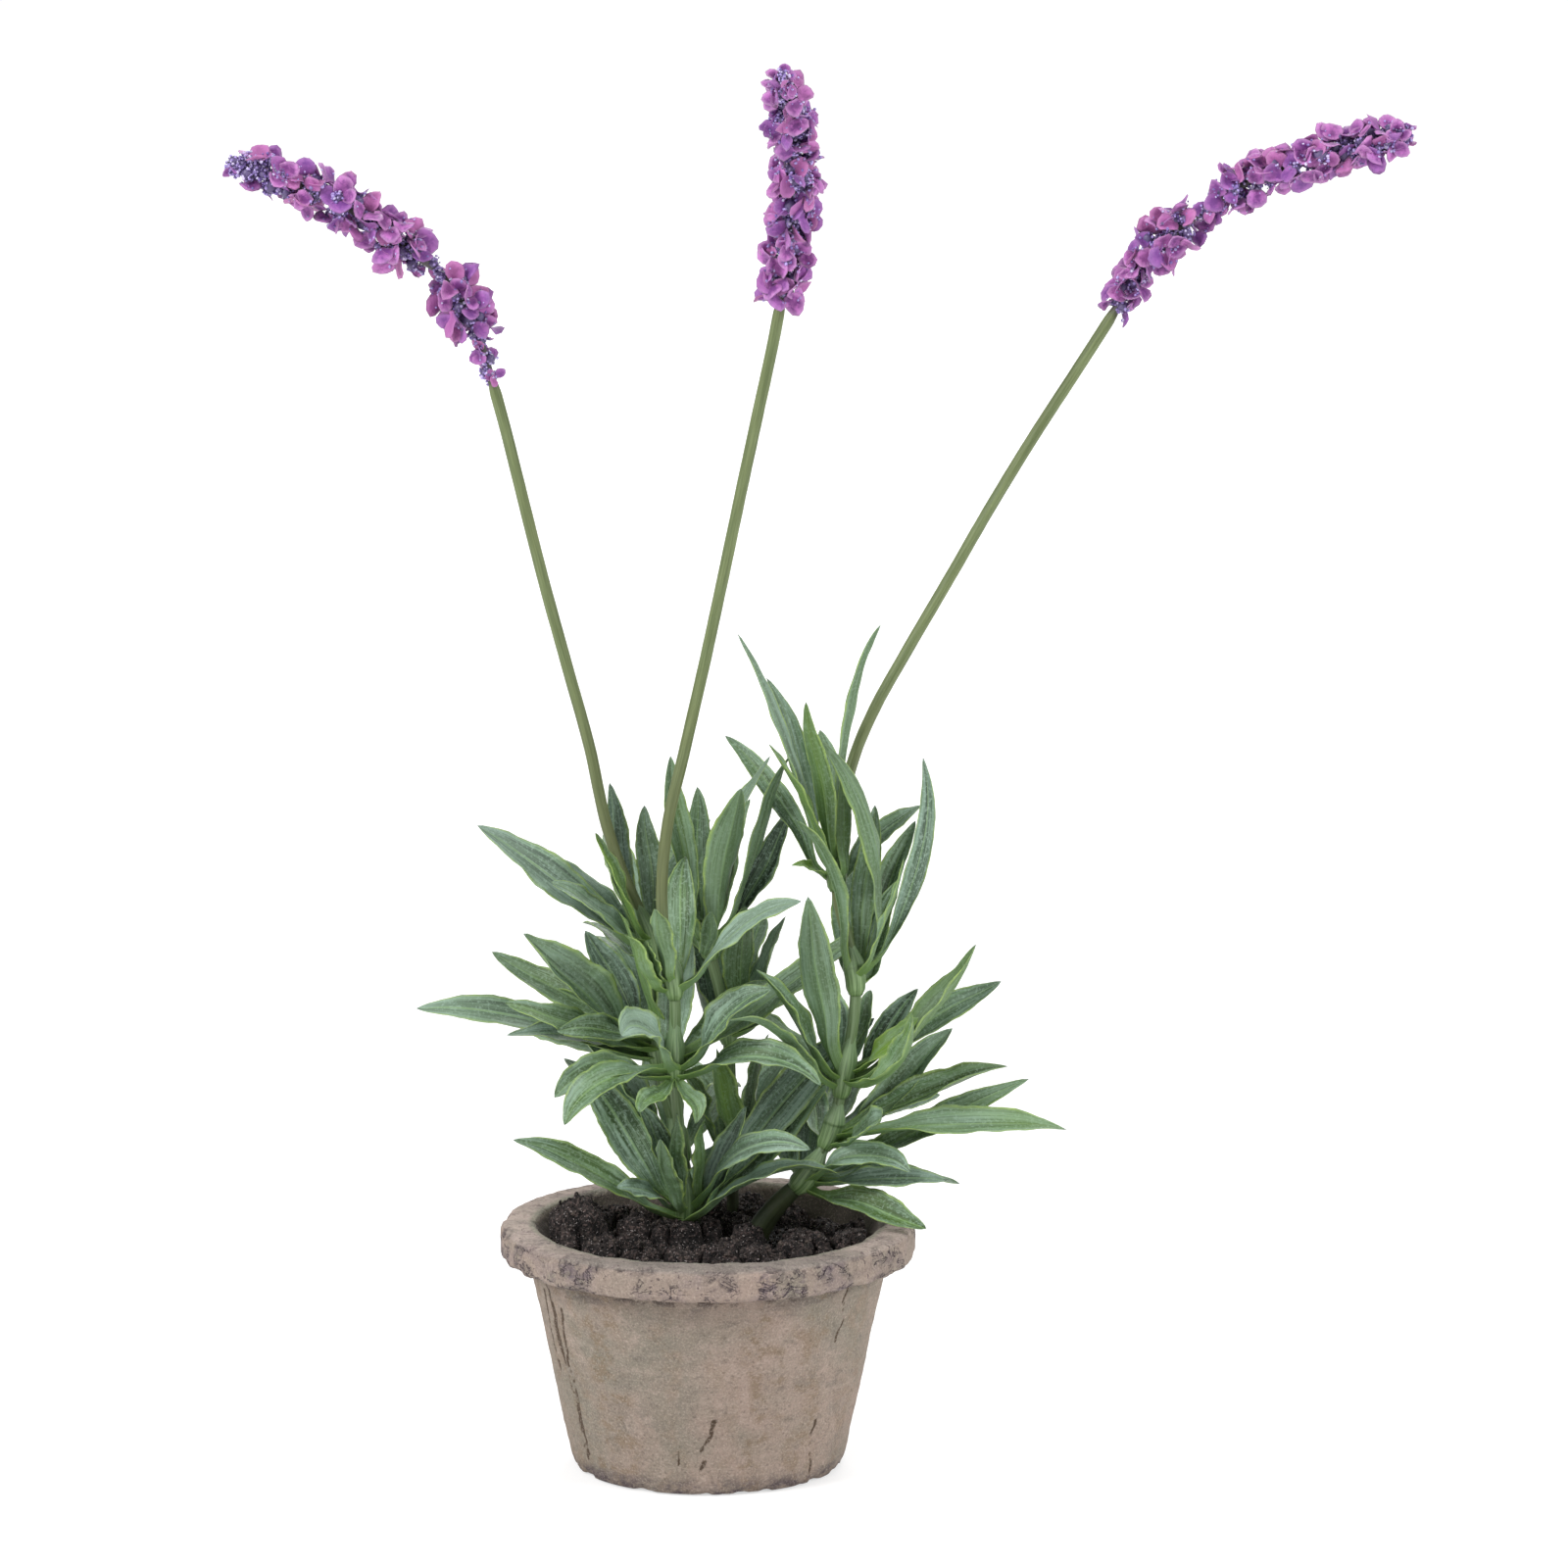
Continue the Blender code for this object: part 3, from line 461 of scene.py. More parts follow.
def readWhorl(name):
    # The leaves of a whorl, and the points of its collar
    points, _, edges = nodeMesh(name)
    taken, leaves = np.zeros(len(points), bool), []
    for tip in np.flatnonzero(np.bincount(edges[:, 0]) == 4):
        layers = layersFrom(tip, edges, 7)
        if any(len(layer) != 4 for layer in layers[:6]):
            continue
        rows = [[*points[tip], 0, 0, 0, 0]]
        for layer in layers[:6]:
            ring = points[layer]
            middle = ring.mean(0)
            axes = np.linalg.svd(ring - middle)[2]
            rows.append([*middle, np.abs((ring - middle) @ axes[0]).max(), *axes[0]])
        seat = points[layers[6]].mean(0)
        rows.append([*seat, 0, 0, 0, 0])
        taken[np.concatenate([[tip], *layers[:6]])] = True
        leaves.append(np.array(rows[::-1]))
    return leaves, points[~taken]


def leafShell(rows, collarMiddle, up, look, rng):
    # Across the blade a shallow channel with a grooved midrib above, a keel below and fine furrows
    for k in (5, 4, 3, 2):  # directions across follow each other, from the widest ring both ways
        if rows[k, 4:] @ rows[k + 1, 4:] < 0:
            rows[k, 4:] *= -1
    rows[7, 4:] = rows[6, 4:]
    start = rows[0].copy()
    start[:3] += leafLook["seat"] * (collarMiddle - rows[0, :3])
    start[2] = rows[0, 2] + leafLook["seatLow"] * (collarMiddle[2] - rows[0, 2])
    start[4:] = rows[2, 4:]
    rows = np.vstack([start, rows[2:]])  # the foot starts inside the collar
    widest = rows[:, 3].max() * look["width"]
    count = leafLook["rows"]
    share = np.linspace(0, 1, count + 1)
    line, side = np.split(smoothLine(rows, share)[:, [0, 1, 2, 4, 5, 6]], 2, axis=1)
    ahead = unit(np.gradient(line, axis=0))
    side = unit(side - ahead * np.einsum("ij,ij->i", side, ahead)[:, None])
    face = np.cross(side, ahead)
    if face[count // 2] @ (collarMiddle + up * 0.03 - line[count // 2]) < 0:
        side, face = -side, -face
    half = widest * np.interp(share ** rng.uniform(0.92, 1.12), *leafOutline)
    half[1:-1] = (half[:-2] + half[1:-1] * 2 + half[2:]) / 4
    half = np.maximum(half, leafLook["leastHalf"])
    # gentle wandering of the line and waving of the margins
    wave = np.sin(share[:, None] * rng.uniform(4, 8, 2) + rng.uniform(0, nearlyRound, 2))
    line = line + (side * wave[:, :1] + face * wave[:, 1:] * 0.8) * (
        leafLook["wander"] * (share * smoothStep(share, 0.1, 0.5))[:, None])
    # the tip curls down or up
    curled = np.clip((share - leafLook["curlFrom"]) / (1 - leafLook["curlFrom"]), 0, 1) ** 2
    line = line + face * (leafLook["curl"] * rng.normal(-0.25, 0.55) * curled)[:, None]
    ragged = np.sin(share * rng.uniform(50, 80) + rng.uniform(0, nearlyRound))
    ragged = ragged * np.sin(share * rng.uniform(18, 26))
    half = half * (1 + leafLook["ragged"] * ragged)
    twist = (rng.normal(0, leafLook["twist"]) * share**2 + rng.normal(0, leafLook["sway"]) * np.sin(share * 7)
             + look["turn"] * smoothStep(share, 0.05, 0.45))[:, None]
    side, face = side * np.cos(twist) + face * np.sin(twist), face * np.cos(twist) - side * np.sin(twist)
    v, u, w = acrossShares[None, :], share[:, None], half[:, None]
    grow = np.minimum(w / leafLook["fullWidth"], 1)
    channel = look["channel"] * (1 - 0.5 * smoothStep(u, 0.7, 1))
    channel = channel + (leafLook["foot"] - channel) * (1 - smoothStep(u, 0.04, 0.30))
    ripple = np.sin(u * rng.uniform(14, 24) + rng.uniform(0, nearlyRound) + v * 1.5)
    ripple = ripple + 0.5 * np.sin(u * rng.uniform(30, 44) + rng.uniform(0, nearlyRound))
    crease = look["crease"]  # 0 for a round channel, 1 for a sharp fold along the midrib
    valley = (1 - crease) * (v**2 - 0.4) + crease * (np.sqrt(v**2 + 0.006) - 0.5)
    bend = w * (channel * valley + leafLook["ripple"] * ripple * np.abs(v) ** 3)
    stalky = 1 - smoothStep(u, 0.0, 0.16)
    thick = (leafLook["edge"] + leafLook["middle"] * (1 - v**2)) * (0.45 + 0.55 * grow) + (
        stalky * leafLook["stalk"] * np.sqrt(np.maximum(1 - v**2, 0)))
    thick = thick * (1 - leafLook["thinTip"] * smoothStep(u, 0.85, 1))
    furrow = leafLook["furrow"] * grow * np.cos(v * math.pi * leafLook["furrows"]) * (np.abs(v) < 0.9)
    rim = leafLook["margin"] * smoothStep(np.abs(v), 0.86, 0.97)
    groove = leafLook["groove"] * grow * np.exp(-(v / 0.09) ** 2)
    keel = leafLook["keel"] * grow * np.exp(-(v / 0.12) ** 2)
    upper = bend + thick / 2 + furrow + rim - groove
    lower = bend - thick / 2 - furrow * 0.6 - keel
    flat = line[:, None] + side[:, None] * (w * v)[..., None]
    grid = np.concatenate([flat + face[:, None] * upper[..., None],
                           (flat + face[:, None] * lower[..., None])[:, ::-1]], axis=1)
    points, quads, fans = capped(grid[:-1])
    points[-1] = line[-1]
    columns = grid.shape[1]
    bothWays = np.concatenate([acrossShares, acrossShares[::-1]])
    uv = np.stack([np.tile(bothWays * 0.5 + 0.5, count), np.repeat(share[:-1], columns)], -1)
    uv = np.concatenate([uv, [[0.5, 0], [0.5, 1]]])
    top = np.concatenate([np.ones(len(acrossShares)), np.zeros(len(acrossShares))])
    top = np.concatenate([np.tile(top, count), [0, 1]])
    tone = np.broadcast_to([look["pale"], look["yellow"], look["chance"], look["dark"]], (len(points), 4))
    return shell(points, quads, fans, uv, {"upper": top, "tone": tone})


def collarShell(points, stem, rng):
    # A boxy ribbed tube round the stem, from the collar's lowest to its highest CAD point
    share = np.linspace(0, 1, collarLook["steps"])
    line, bare = smoothLine(stemRows[stem], share), steady(stemRows[stem], share)
    nearest = np.argmin(((points[:, None] - line[None, :, :3]) ** 2).sum(-1), axis=1)
    away = np.linalg.norm(points - line[nearest, :3], axis=1)
    low, high = nearest.min(), nearest.max()
    outer = away > np.median(away)
    extra = int((high - low) * collarLook["sheath"])  # a thin sheath goes on up the stem
    stations = np.linspace(low, min(high + extra, len(line) - 2), collarLook["rows"]).round().astype(int)
    middle = line[stations, :3]
    ahead, across, other = frames(line[:, :3])
    ahead, across, other = ahead[stations], across[stations], other[stations]
    order = np.argsort(nearest[outer])
    radius = np.interp(stations, nearest[outer][order], away[outer][order])
    radius = np.convolve(np.pad(radius, 2, mode="edge"), np.ones(5) / 5, mode="valid")
    bare = bare[stations] + collarLook["gap"] * np.linspace(1, -0.2, len(stations))
    radius = bare + (radius - bare) * (1 - smoothStep(stations, high - (high - low) * 0.25,
                                                      high + extra * 0.7))
    share = np.linspace(0, 1, len(stations))[:, None]
    turn = circle(collarLook["columns"])[None, :]
    shift = rng.uniform(0, nearlyRound)
    ribs = np.abs(np.cos(collarLook["ribs"] / 2 * turn + shift))
    form = 1 + collarLook["corner"] * np.cos(4 * turn + shift) + collarLook["rib"] * ribs - 0.04
    form = form * (1 + 0.05 * (share - 0.5)) * (1 - 0.25 * smoothStep(share, 0.12, 0))
    outside = radius[:, None] * form
    inside = outside - collarLook["wall"] * (1.6 - 1.3 * share)
    rise = collarLook["scallop"] * ribs * share**3

    def ring(reach):
        return (middle[:, None] + reach[..., None] * (across[:, None] * np.cos(turn)[..., None]
                + other[:, None] * np.sin(turn)[..., None]) + ahead[:, None] * rise[..., None])

    grid = np.concatenate([ring(outside), ring(inside)[::-1]])
    rows, columns = grid.shape[:2]
    uv = np.stack([np.tile(turn[0] / (2 * math.pi), rows),
                   np.repeat(np.concatenate([share[:, 0], share[::-1, 0]]), columns)], -1)
    tone = np.broadcast_to([0.5, 0.5, rng.random(), 0.0], (rows * columns, 4))
    return shell(grid.reshape(-1, 3), gridQuads(rows, columns, closedRows=True), uv=uv,
                 marks={"upper": np.ones(rows * columns), "tone": tone}, material=1)


leafSkin, tree, shader, place = newMaterial("leafSkin", 0.42)
across, upBlade, _ = addNode("SeparateXYZ", {0: addNode("UVMap", {}, uv_map="surface")[0]})
off = sums("ABSOLUTE", sums("SUBTRACT", times(across, 2.0), 1.0))  # 0 on the midrib, 1 on a margin
pale, yellow, chance, dark = toneParts()
shifted = addNode("CombineXYZ", {0: across, 1: upBlade, 2: times(chance, 9.0)})[0]
streaks = noise(stretched(shifted, (7, 1.3, 6)), 1.0, 3.0, 0.62)
fineLines = noise(stretched(shifted, (30, 2.2, 6)), 1.0, 2.0, 0.6)
gritty = noise(place, 1100.0, 2.0, 0.7)
ragged = noise(stretched(shifted, (6, 14, 6)), 1.0, 4.0, 0.7)
beside = times(fade(off, 0.05, 0.14), fade(off, 0.3, 0.62, 1.0, 0.0))
# bluish frost in patches, thickest towards the margins
frost = times(mottled(shifted, 2.6, 0.16, 0.50), fade(sums("ADD", streaks, times(off, 0.16)), 0.42, 0.62),
              fade(dark, 0.0, 0.8, 0.75, 0.2))
glowing = fade(noise(stretched(shifted, (2.5, 2.2, 6)), 1.0, 2.0), 0.3, 0.65, 0.35, 1.0)
under = sums("SUBTRACT", 1.0, mark("upper")["Fac"])
margin = times(fade(sums("ADD", off, times(ragged, 0.26)), 0.94, 1.09), fade(ragged, 0.34, 0.62, 0.95, 0.25))
foot = fade(sums("ADD", upBlade, times(streaks, 0.2)), 0.1, 0.4, 0.75, 0.0)
skin = coats(blend(fade(streaks, 0.40, 0.60), tint(34, 58, 36), tint(88, 122, 82)),
             (times(beside, 0.5), 30, 54, 30), (times(pale, 0.5), 160, 184, 164),
             (times(dark, 0.75), 26, 40, 28), (frost, 146, 170, 158),
             (times(fade(fineLines, 0.52, 0.60), 0.24), 156, 182, 152),
             (fade(fineLines, 0.38, 0.46, 0.42, 0.0), 22, 42, 24),
             (fade(gritty, 0.50, 0.66, 0.0, 0.46), 156, 180, 164),
             (fade(off, 0.02, 0.07, 0.55, 0.0), 140, 168, 120),  # the midrib
             (times(yellow, glowing), 108, 142, 42), (times(under, 0.45), 84, 114, 54),
             (margin, 150, 176, 92), (foot, 96, 128, 58))
dress(skin, fade(streaks, 0.3, 0.7, 0.44, 0.6), sums("ADD", fineLines, times(gritty, 0.7)), 0.16 * mm, 0.8)

collarSkin, tree, shader, place = newMaterial("collarSkin", 0.5)
surface = addNode("UVMap", {}, uv_map="surface")[0]
lines = noise(stretched(surface, (26, 1.2, 1)), 1.0, 2.0)
skin = coats(blend(fade(lines, 0.35, 0.65), tint(72, 100, 50), tint(128, 154, 104)),
             (fade(addNode("SeparateXYZ", {0: surface})[1], 0.0, 1.0, 0.0, 0.5), 128, 150, 122))
dress(skin, fade(lines, 0.2, 0.8, 0.35, 0.5), lines, 0.3 * mm, 0.8)

whorlNames = sorted(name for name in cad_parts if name.startswith("leaves_"))
# Widths against the CAD leaves: fuller low down, narrower at the top
leafWidths = dict(leaves_right_5=0.80, leaves_right_4=0.88, leaves_back_3=0.88, leaves_right_3=1.0,
                  leaves_front_3=1.0, leaves_left_3=1.0)
# Leaves that differ from the rest: paleness, yellowness and darkness by leaf number in each whorl
leafTones = dict(
    leaves_left_3={0: (0.6, 0, 0), 1: (0.35, 0, 0.1), 2: (0.6, 0.1, 0), 4: (0, 0.75, 0.3), 6: (0.3, 0, 0.2)},
    leaves_left_2={0: (0.5, 0.1, 0), 3: (0.1, 0.35, 0), 4: (0.35, 0, 0.1), 5: (0.25, 0.2, 0),
                   7: (0, 0.2, 0.3), 8: (0.2, 0, 0.3), 10: (0.1, 0.7, 0)},
    leaves_left_1={1: (0.15, 0.1, 0.2)},
    leaves_front_3={0: (0.1, 0.5, 0), 1: (0, 0.3, 0.3), 2: (0.5, 0.2, 0), 4: (0.8, 0, 0)},
    leaves_front_2={0: (0.2, 0.25, 0), 1: (0.2, 0.3, 0), 2: (1, 0, 0), 3: (0.1, 0.4, 0),
                    5: (0.1, 0.4, 0), 6: (0.2, 0.1, 0.15), 8: (0.25, 0.2, 0)},
    leaves_front_1={0: (0.2, 0.3, 0), 2: (0.4, 0, 0.1), 4: (0.1, 0.1, 0.2), 5: (0.35, 0, 0),
                    6: (0.1, 0, 0.3), 7: (0.1, 0.35, 0), 9: (0.35, 0, 0.1), 10: (0.45, 0.05, 0),
                    12: (0.6, 0, 0)},
    leaves_back_3={0: (0.3, 0.6, 0), 2: (0.2, 0.4, 0), 4: (0.3, 0, 0.1), 5: (0.6, 0.1, 0), 6: (0.7, 0.15, 0),
                   8: (0.7, 0.1, 0), 9: (0.45, 0, 0), 10: (0, 0, 0.8)},
    leaves_back_2={0: (0, 0, 0.6), 2: (0, 0, 0.7)},
    leaves_back_1={0: (0, 0.4, 0.3), 2: (0, 0.5, 0.6), 3: (0, 0.3, 0.6)},
    leaves_right_1={2: (0.45, 0.1, 0), 4: (0, 0.35, 0.5), 5: (0.6, 0, 0), 6: (0.5, 0.1, 0),
                    7: (0.1, 0.3, 0)},
    leaves_right_2={2: (0.3, 0.2, 0), 6: (0.45, 0.35, 0)},
    leaves_right_3={0: (0.35, 0.1, 0), 2: (0.1, 0.3, 0), 3: (0.5, 0, 0), 6: (0.15, 0.5, 0),
                    7: (0.05, 0.9, 0.1), 9: (0.3, 0.5, 0)},
    leaves_right_4={0: (0.25, 0.1, 0.1), 1: (0.4, 0.05, 0), 5: (0.45, 0.35, 0), 7: (0.25, 0, 0.3)},
    leaves_right_5={1: (0.55, 0.1, 0), 3: (0.1, 0.6, 0.1), 4: (0.1, 0.8, 0), 5: (0, 0.45, 0.35),
                    7: (0.1, 0.3, 0.2), 8: (0.55, 0, 0)})
# Leaves that turn about their length, in radians
leafTurns = dict(leaves_right_4={7: -1.2, 5: -0.4})
leftPaler = 0.12  # how much paler the left stem's leaves are
leafCount = 0
for number, name in enumerate(whorlNames):
    rng = np.random.default_rng(100 + number)
    stem = name.split("_")[1]
    leaves, collarPoints = readWhorl(name)
    middle, up = pathUp(stem, collarPoints[:, 2].mean())
    shells = [collarShell(collarPoints, stem, rng)]
    for rank, rows in enumerate(leaves):
        usual = rng.uniform(0, 0.35), rng.uniform(0, 0.3), rng.uniform(0, 0.5) ** 2 * 2
        lightness, yellowness, darkness = leafTones.get(name, {}).get(rank, usual)
        look = dict(pale=lightness + leftPaler * (stem == "left"), yellow=yellowness, dark=darkness,
                    chance=rng.random(),
                    channel=rng.choice([0.2, 0.35, 0.5, 0.9], p=[0.25, 0.35, 0.25, 0.15]),
                    crease=rng.uniform(0.2, 1), width=leafWidths.get(name, 1.1) * rng.uniform(0.95, 1.05),
                    turn=leafTurns.get(name, {}).get(rank, 0.0))
        shells.append(leafShell(rows, middle, up, look, rng))
    leafCount += len(leaves)
    makePiece(name.replace("leaves", "sprig"), shells, [name], [leafSkin, collarSkin])
print("leaf whorls made:", len(whorlNames), "with", leafCount, "leaves")


# Flower spikes: round cupped petals and clumps of frosted beads stand round the stalk, within the
# radius that each CAD cluster has at that place

spikeLook = dict(petal=3.15 * mm, petalSpread=0.32 * mm, cup=0.26, thickness=0.28 * mm, around=11,
                 opening=62, openingSpread=15, bead=0.40 * mm, core=1.7 * mm, thinning=0.6,
                 slim=dict(left=0.86, front=0.79, right=0.86), tip=0.42, steps=900, stations=24,
                 landed=0.22, crusted=0.16, crust=0.7 * mm, goldenTurn=2.39996, least=2.4 * mm,
                 most=3.9 * mm, ends=0.62, notch=0.25)
# How many florets, clumps of beads and beads each cluster has, from the tip down
spikeMix = dict(left=((6, 20, 1050), (17, 15, 560), (13, 12, 460), (1, 3, 150), (17, 13, 460), (4, 5, 170)),
                front=((11, 8, 320), (11, 15, 560), (11, 16, 600), (11, 16, 620), (15, 10, 340)),
                right=((15, 14, 520), (15, 13, 480), (11, 10, 380), (3, 5, 180), (14, 13, 460), (9, 8, 280)))


def petalForm():
    # A round cupped disc with a thickness: two rings and a middle above, one ring and a middle below,
    # as rows of angle, share of the radius, and side (1 above, -1 below)
    turn = circle(spikeLook["around"])
    rows = [(0.52, 1.0), (0.88, 1.0), (1.0, 0.0), (0.6, -1.0)]
    form = [[angle, share, side] for share, side in rows for angle in turn]
    form += [[0, 0, 1.0], [0, 0, -1.0]]
    count, c = len(turn), np.arange(len(turn))
    c2, last = (c + 1) % count, 3 * count
    fans = np.concatenate([np.stack([c, c2, 0 * c + 4 * count], -1),
                           np.stack([last + c2, last + c, 0 * c + 4 * count + 1], -1)])
    return np.array(form), gridQuads(4, count)[:, ::-1], fans


def ballForm():
    # An eight-sided ball split once: 18 points and 32 faces
    corners = np.array([[1, 0, 0], [0, 1, 0], [-1, 0, 0], [0, -1, 0], [0, 0, 1], [0, 0, -1]], float)
    faces = [(0, 1, 4), (1, 2, 4), (2, 3, 4), (3, 0, 4), (1, 0, 5), (2, 1, 5), (3, 2, 5), (0, 3, 5)]
    points, made, split = corners.tolist(), {}, []
    for a, b, c in faces:
        middles = []
        for p, q in ((a, b), (b, c), (c, a)):
            key = (min(p, q), max(p, q))
            if key not in made:
                made[key] = len(points)
                points.append(unit(corners[p] + corners[q]).tolist())
            middles.append(made[key])
        ab, bc, ca = middles
        split += [(a, ab, ca), (b, bc, ab), (c, ca, bc), (ab, bc, ca)]
    return np.array(points), np.array(split)


petal, petalQuads, petalFans = petalForm()
ball, ballFaces = ballForm()
noQuads = np.empty((0, 4), int)


def clusterShells(name, stem, mix, rng):
    florets, clumps, beads = mix
    points = nodeMesh(name)[0]
    share = np.linspace(0, 1, spikeLook["steps"])
    line = smoothLine(stemRows[stem], share)[:, :3]
    stalk = steady(stemRows[stem], share) * spikeLook["thinning"]
    ahead, across, other = frames(line)
    nearest = np.argmin(((points[:, None] - line[None]) ** 2).sum(-1), axis=1)
    away = np.linalg.norm(points - line[nearest], axis=1)
    low, high = nearest.min(), nearest.max()
    down = np.linspace(0, 1, spikeLook["stations"])
    station = np.linspace(low, high, len(down))
    swell = np.sin(np.linspace(0.06, 0.94, len(down)) * math.pi)
    reach = away.max() * (spikeLook["ends"] + (1 - spikeLook["ends"]) * swell)
    reach = reach * spikeLook["slim"][stem]
    if name.endswith("_1"):  # the last cluster narrows towards the spike's tip
        reach = reach * (1 - spikeLook["tip"] * down**1.5)

    def spots(count, wander):
        # Places spread evenly round and along the cluster: a golden turn with a little wander
        k = np.arange(count)
        at = (k + 0.5) / count + rng.uniform(-wander, wander, count) / count
        turn = (k * spikeLook["goldenTurn"] + rng.uniform(-wander, wander, count) * 0.5
                + rng.uniform(0, nearlyRound))
        at = np.clip(low + at * (high - low), low, high)
        i = at.astype(int)
        out = across[i] * np.cos(turn)[:, None] + other[i] * np.sin(turn)[:, None]
        return line[i], out, ahead[i], np.interp(at, station, reach)

    # florets: two to four petals open round an axis that points away from the stalk
    root, out, along, wide = spots(florets, 0.8)
    axis = unit(out + along * rng.uniform(-0.15, 0.45, (florets, 1)) + rng.normal(0, 0.16, (florets, 3)))
    base = root + out * (wide * rng.uniform(0.34, 0.52, florets))[:, None]
    each = rng.integers(2, 5, florets)
    petals = int(each.sum())
    which = np.repeat(np.arange(florets), each)
    step = np.arange(petals) - np.repeat(np.cumsum(each) - each, each)
    spin = (step / each[which] * 2 * math.pi + rng.uniform(0, nearlyRound, florets)[which]
            + rng.normal(0, 0.25, petals))[:, None]
    axis, wide = axis[which], wide[which]
    level = unit(np.cross(axis, along[which]))
    sideways = level * np.cos(spin) + np.cross(axis, level) * np.sin(spin)
    opening = np.radians(rng.normal(spikeLook["opening"], spikeLook["openingSpread"], petals))[:, None]
    size = rng.normal(spikeLook["petal"], spikeLook["petalSpread"], petals)
    size = np.minimum(size.clip(spikeLook["least"], spikeLook["most"]), wide * 0.6)
    first = axis * np.cos(opening) + sideways * np.sin(opening)
    face = axis * np.sin(opening) - sideways * np.cos(opening)
    face = unit(face + rng.normal(0, 0.16, (petals, 3)))
    second = unit(np.cross(face, first))
    middle = base[which] + axis * 0.5 * mm + first * (size * 0.95)[:, None]
    angle, share, side = petal.T

    def phase():
        return rng.uniform(0, nearlyRound, (petals, 1))

    wobble = 1 + 0.10 * np.sin(2 * angle + phase()) + 0.06 * np.sin(3 * angle + phase())
    stretch = rng.uniform(0.95, 1.18, (petals, 1))
    r = size[:, None] * share * wobble * (1 - spikeLook["notch"] * np.clip(-np.cos(angle), 0, 1) ** 2)
    cup = spikeLook["cup"] * rng.uniform(-1.0, 1.0, (petals, 1))
    lift = (cup * share**2 + 0.12 * share**3 * np.sin(3 * angle + phase())
            + rng.uniform(-0.35, 0.35, (petals, 1)) * share**2 * np.cos(2 * angle)) * size[:, None]
    lift = lift + side * spikeLook["thickness"] / 2
    form = (middle[:, None] + first[:, None] * (r * np.cos(angle) * stretch)[..., None]
            + second[:, None] * (r * np.sin(angle) / stretch)[..., None] + face[:, None] * lift[..., None])
    tone = np.stack(np.broadcast_arrays(share, *rng.random((2, petals, 1)), 1.0), -1)
    shells = [copies(form, petalQuads, petalFans, tone)]

    # clumps: a dark core covered with small grains, in the gaps, and a thin crust on the stalk
    root, out, along, wide = spots(clumps, 1.2)
    core = np.minimum(spikeLook["core"] * rng.uniform(0.75, 1.25, clumps), wide * 0.42)
    heart = root + out * (wide * rng.uniform(0.25, 0.78, clumps) - core * 0.3)[:, None]
    which = rng.integers(0, clumps, beads)
    place = heart[which] + unit(rng.normal(0, 1, (beads, 3))) * (core[which] * rng.uniform(
        0.9, 1.5, beads))[:, None]
    crust = rng.random(beads) < spikeLook["crusted"]
    k = rng.integers(low, high, beads)
    turn = rng.uniform(0, 2 * math.pi, beads)[:, None]
    bark = line[k] + (across[k] * np.cos(turn) + other[k] * np.sin(turn)) * (
        stalk[k, None] + rng.uniform(0, 1, (beads, 1)) * spikeLook["crust"])
    place = np.where(crust[:, None], bark, place)
    # some grains lie on the petals
    landed = rng.random(beads) < spikeLook["landed"]
    place = np.where(landed[:, None], form[rng.integers(0, petals, beads), rng.integers(
        0, 3 * spikeLook["around"], beads)], place)
    # no grain further out than the cluster reaches
    near = np.argmin(((place[:, None] - line[None, low:high + 1]) ** 2).sum(-1), axis=1) + low
    offset = place - line[near]
    limit = np.interp(near, station, reach)[:, None] * 1.02
    place = line[near] + offset * np.minimum(1, limit / np.maximum(np.linalg.norm(
        offset, axis=1, keepdims=True), 1e-9))
    place = np.concatenate([place, heart])
    size = np.concatenate([spikeLook["bead"] * rng.uniform(0.55, 1.3, beads), core])[:, None, None]
    form = place[:, None] + ball[None] * size * rng.uniform(0.8, 1.25, (len(place), 1, 3))
    tone = np.vstack([rng.random((3, len(place))), np.ones(len(place))]).T
    tone[beads:, :3] = [0, 0, 1]  # the cores are dark
    return shells + [copies(form, noQuads, ballFaces, tone[:, None], material=1)]


petalSkin, tree, shader, place = newMaterial("petalSkin", 0.35, **{"Sheen Weight": 0.25,
                                                                  "Sheen Roughness": 0.4})
reachOut, chance, kind, _ = toneParts()
cloud = noise(place, 420.0, 4.0, 0.65)
# the pale rims are a painted highlight of light through the thin edges; the dark middles are partly the
# petals' deeper colour and partly painted shade
skin = coats(blend(fade(cloud, 0.38, 0.64), tint(112, 50, 122), tint(182, 106, 180)),
             (fade(reachOut, 0.45, 1.0, 0.0, 0.45), 214, 160, 212),
             (fade(reachOut, 0.0, 0.6, 0.6, 0.0), 98, 42, 108),
             (fade(chance, 0.35, 1.0, 0.0, 0.6), 124, 74, 156),
             (fade(kind, 0.6, 1.0, 0.0, 0.5), 186, 106, 158))
relief = sums("ADD", grained(place, 1500.0, 0.4)[1], cloud)
dress(skin, fade(cloud, 0.3, 0.7, 0.5, 0.66), relief, 0.12 * mm, 0.6)

beadFrost, tree, shader, place = newMaterial("beadFrost", 0.7)
shade, pale, dark, _ = toneParts()
# the palest beads are painted highlights
skin = coats(blend(shade, tint(112, 86, 160), tint(184, 164, 226)),
             (fade(pale, 0.62, 1.0, 0.0, 0.9), 216, 206, 238), (fade(dark, 0.8, 1.0, 0.0, 0.8), 82, 70, 104))
dress(skin, fade(pale, 0.0, 1.0, 0.5, 0.22), noise(place, 2500.0, 2.0), 0.1 * mm, 0.8)

clusterNames = sorted(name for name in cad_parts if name.startswith("florets_"))
for number, name in enumerate(clusterNames):
    rng = np.random.default_rng(300 + number)
    _, stem, rank = name.split("_")
    shells = clusterShells(name, stem, spikeMix[stem][int(rank) - 1], rng)
    makePiece(name.replace("florets", "blossom"), shells, [name], [petalSkin, beadFrost])
print("flower clusters made:", len(clusterNames))


# Soil: the CAD soil's height at each place, broken into clods with crevices between, and loose crumbs

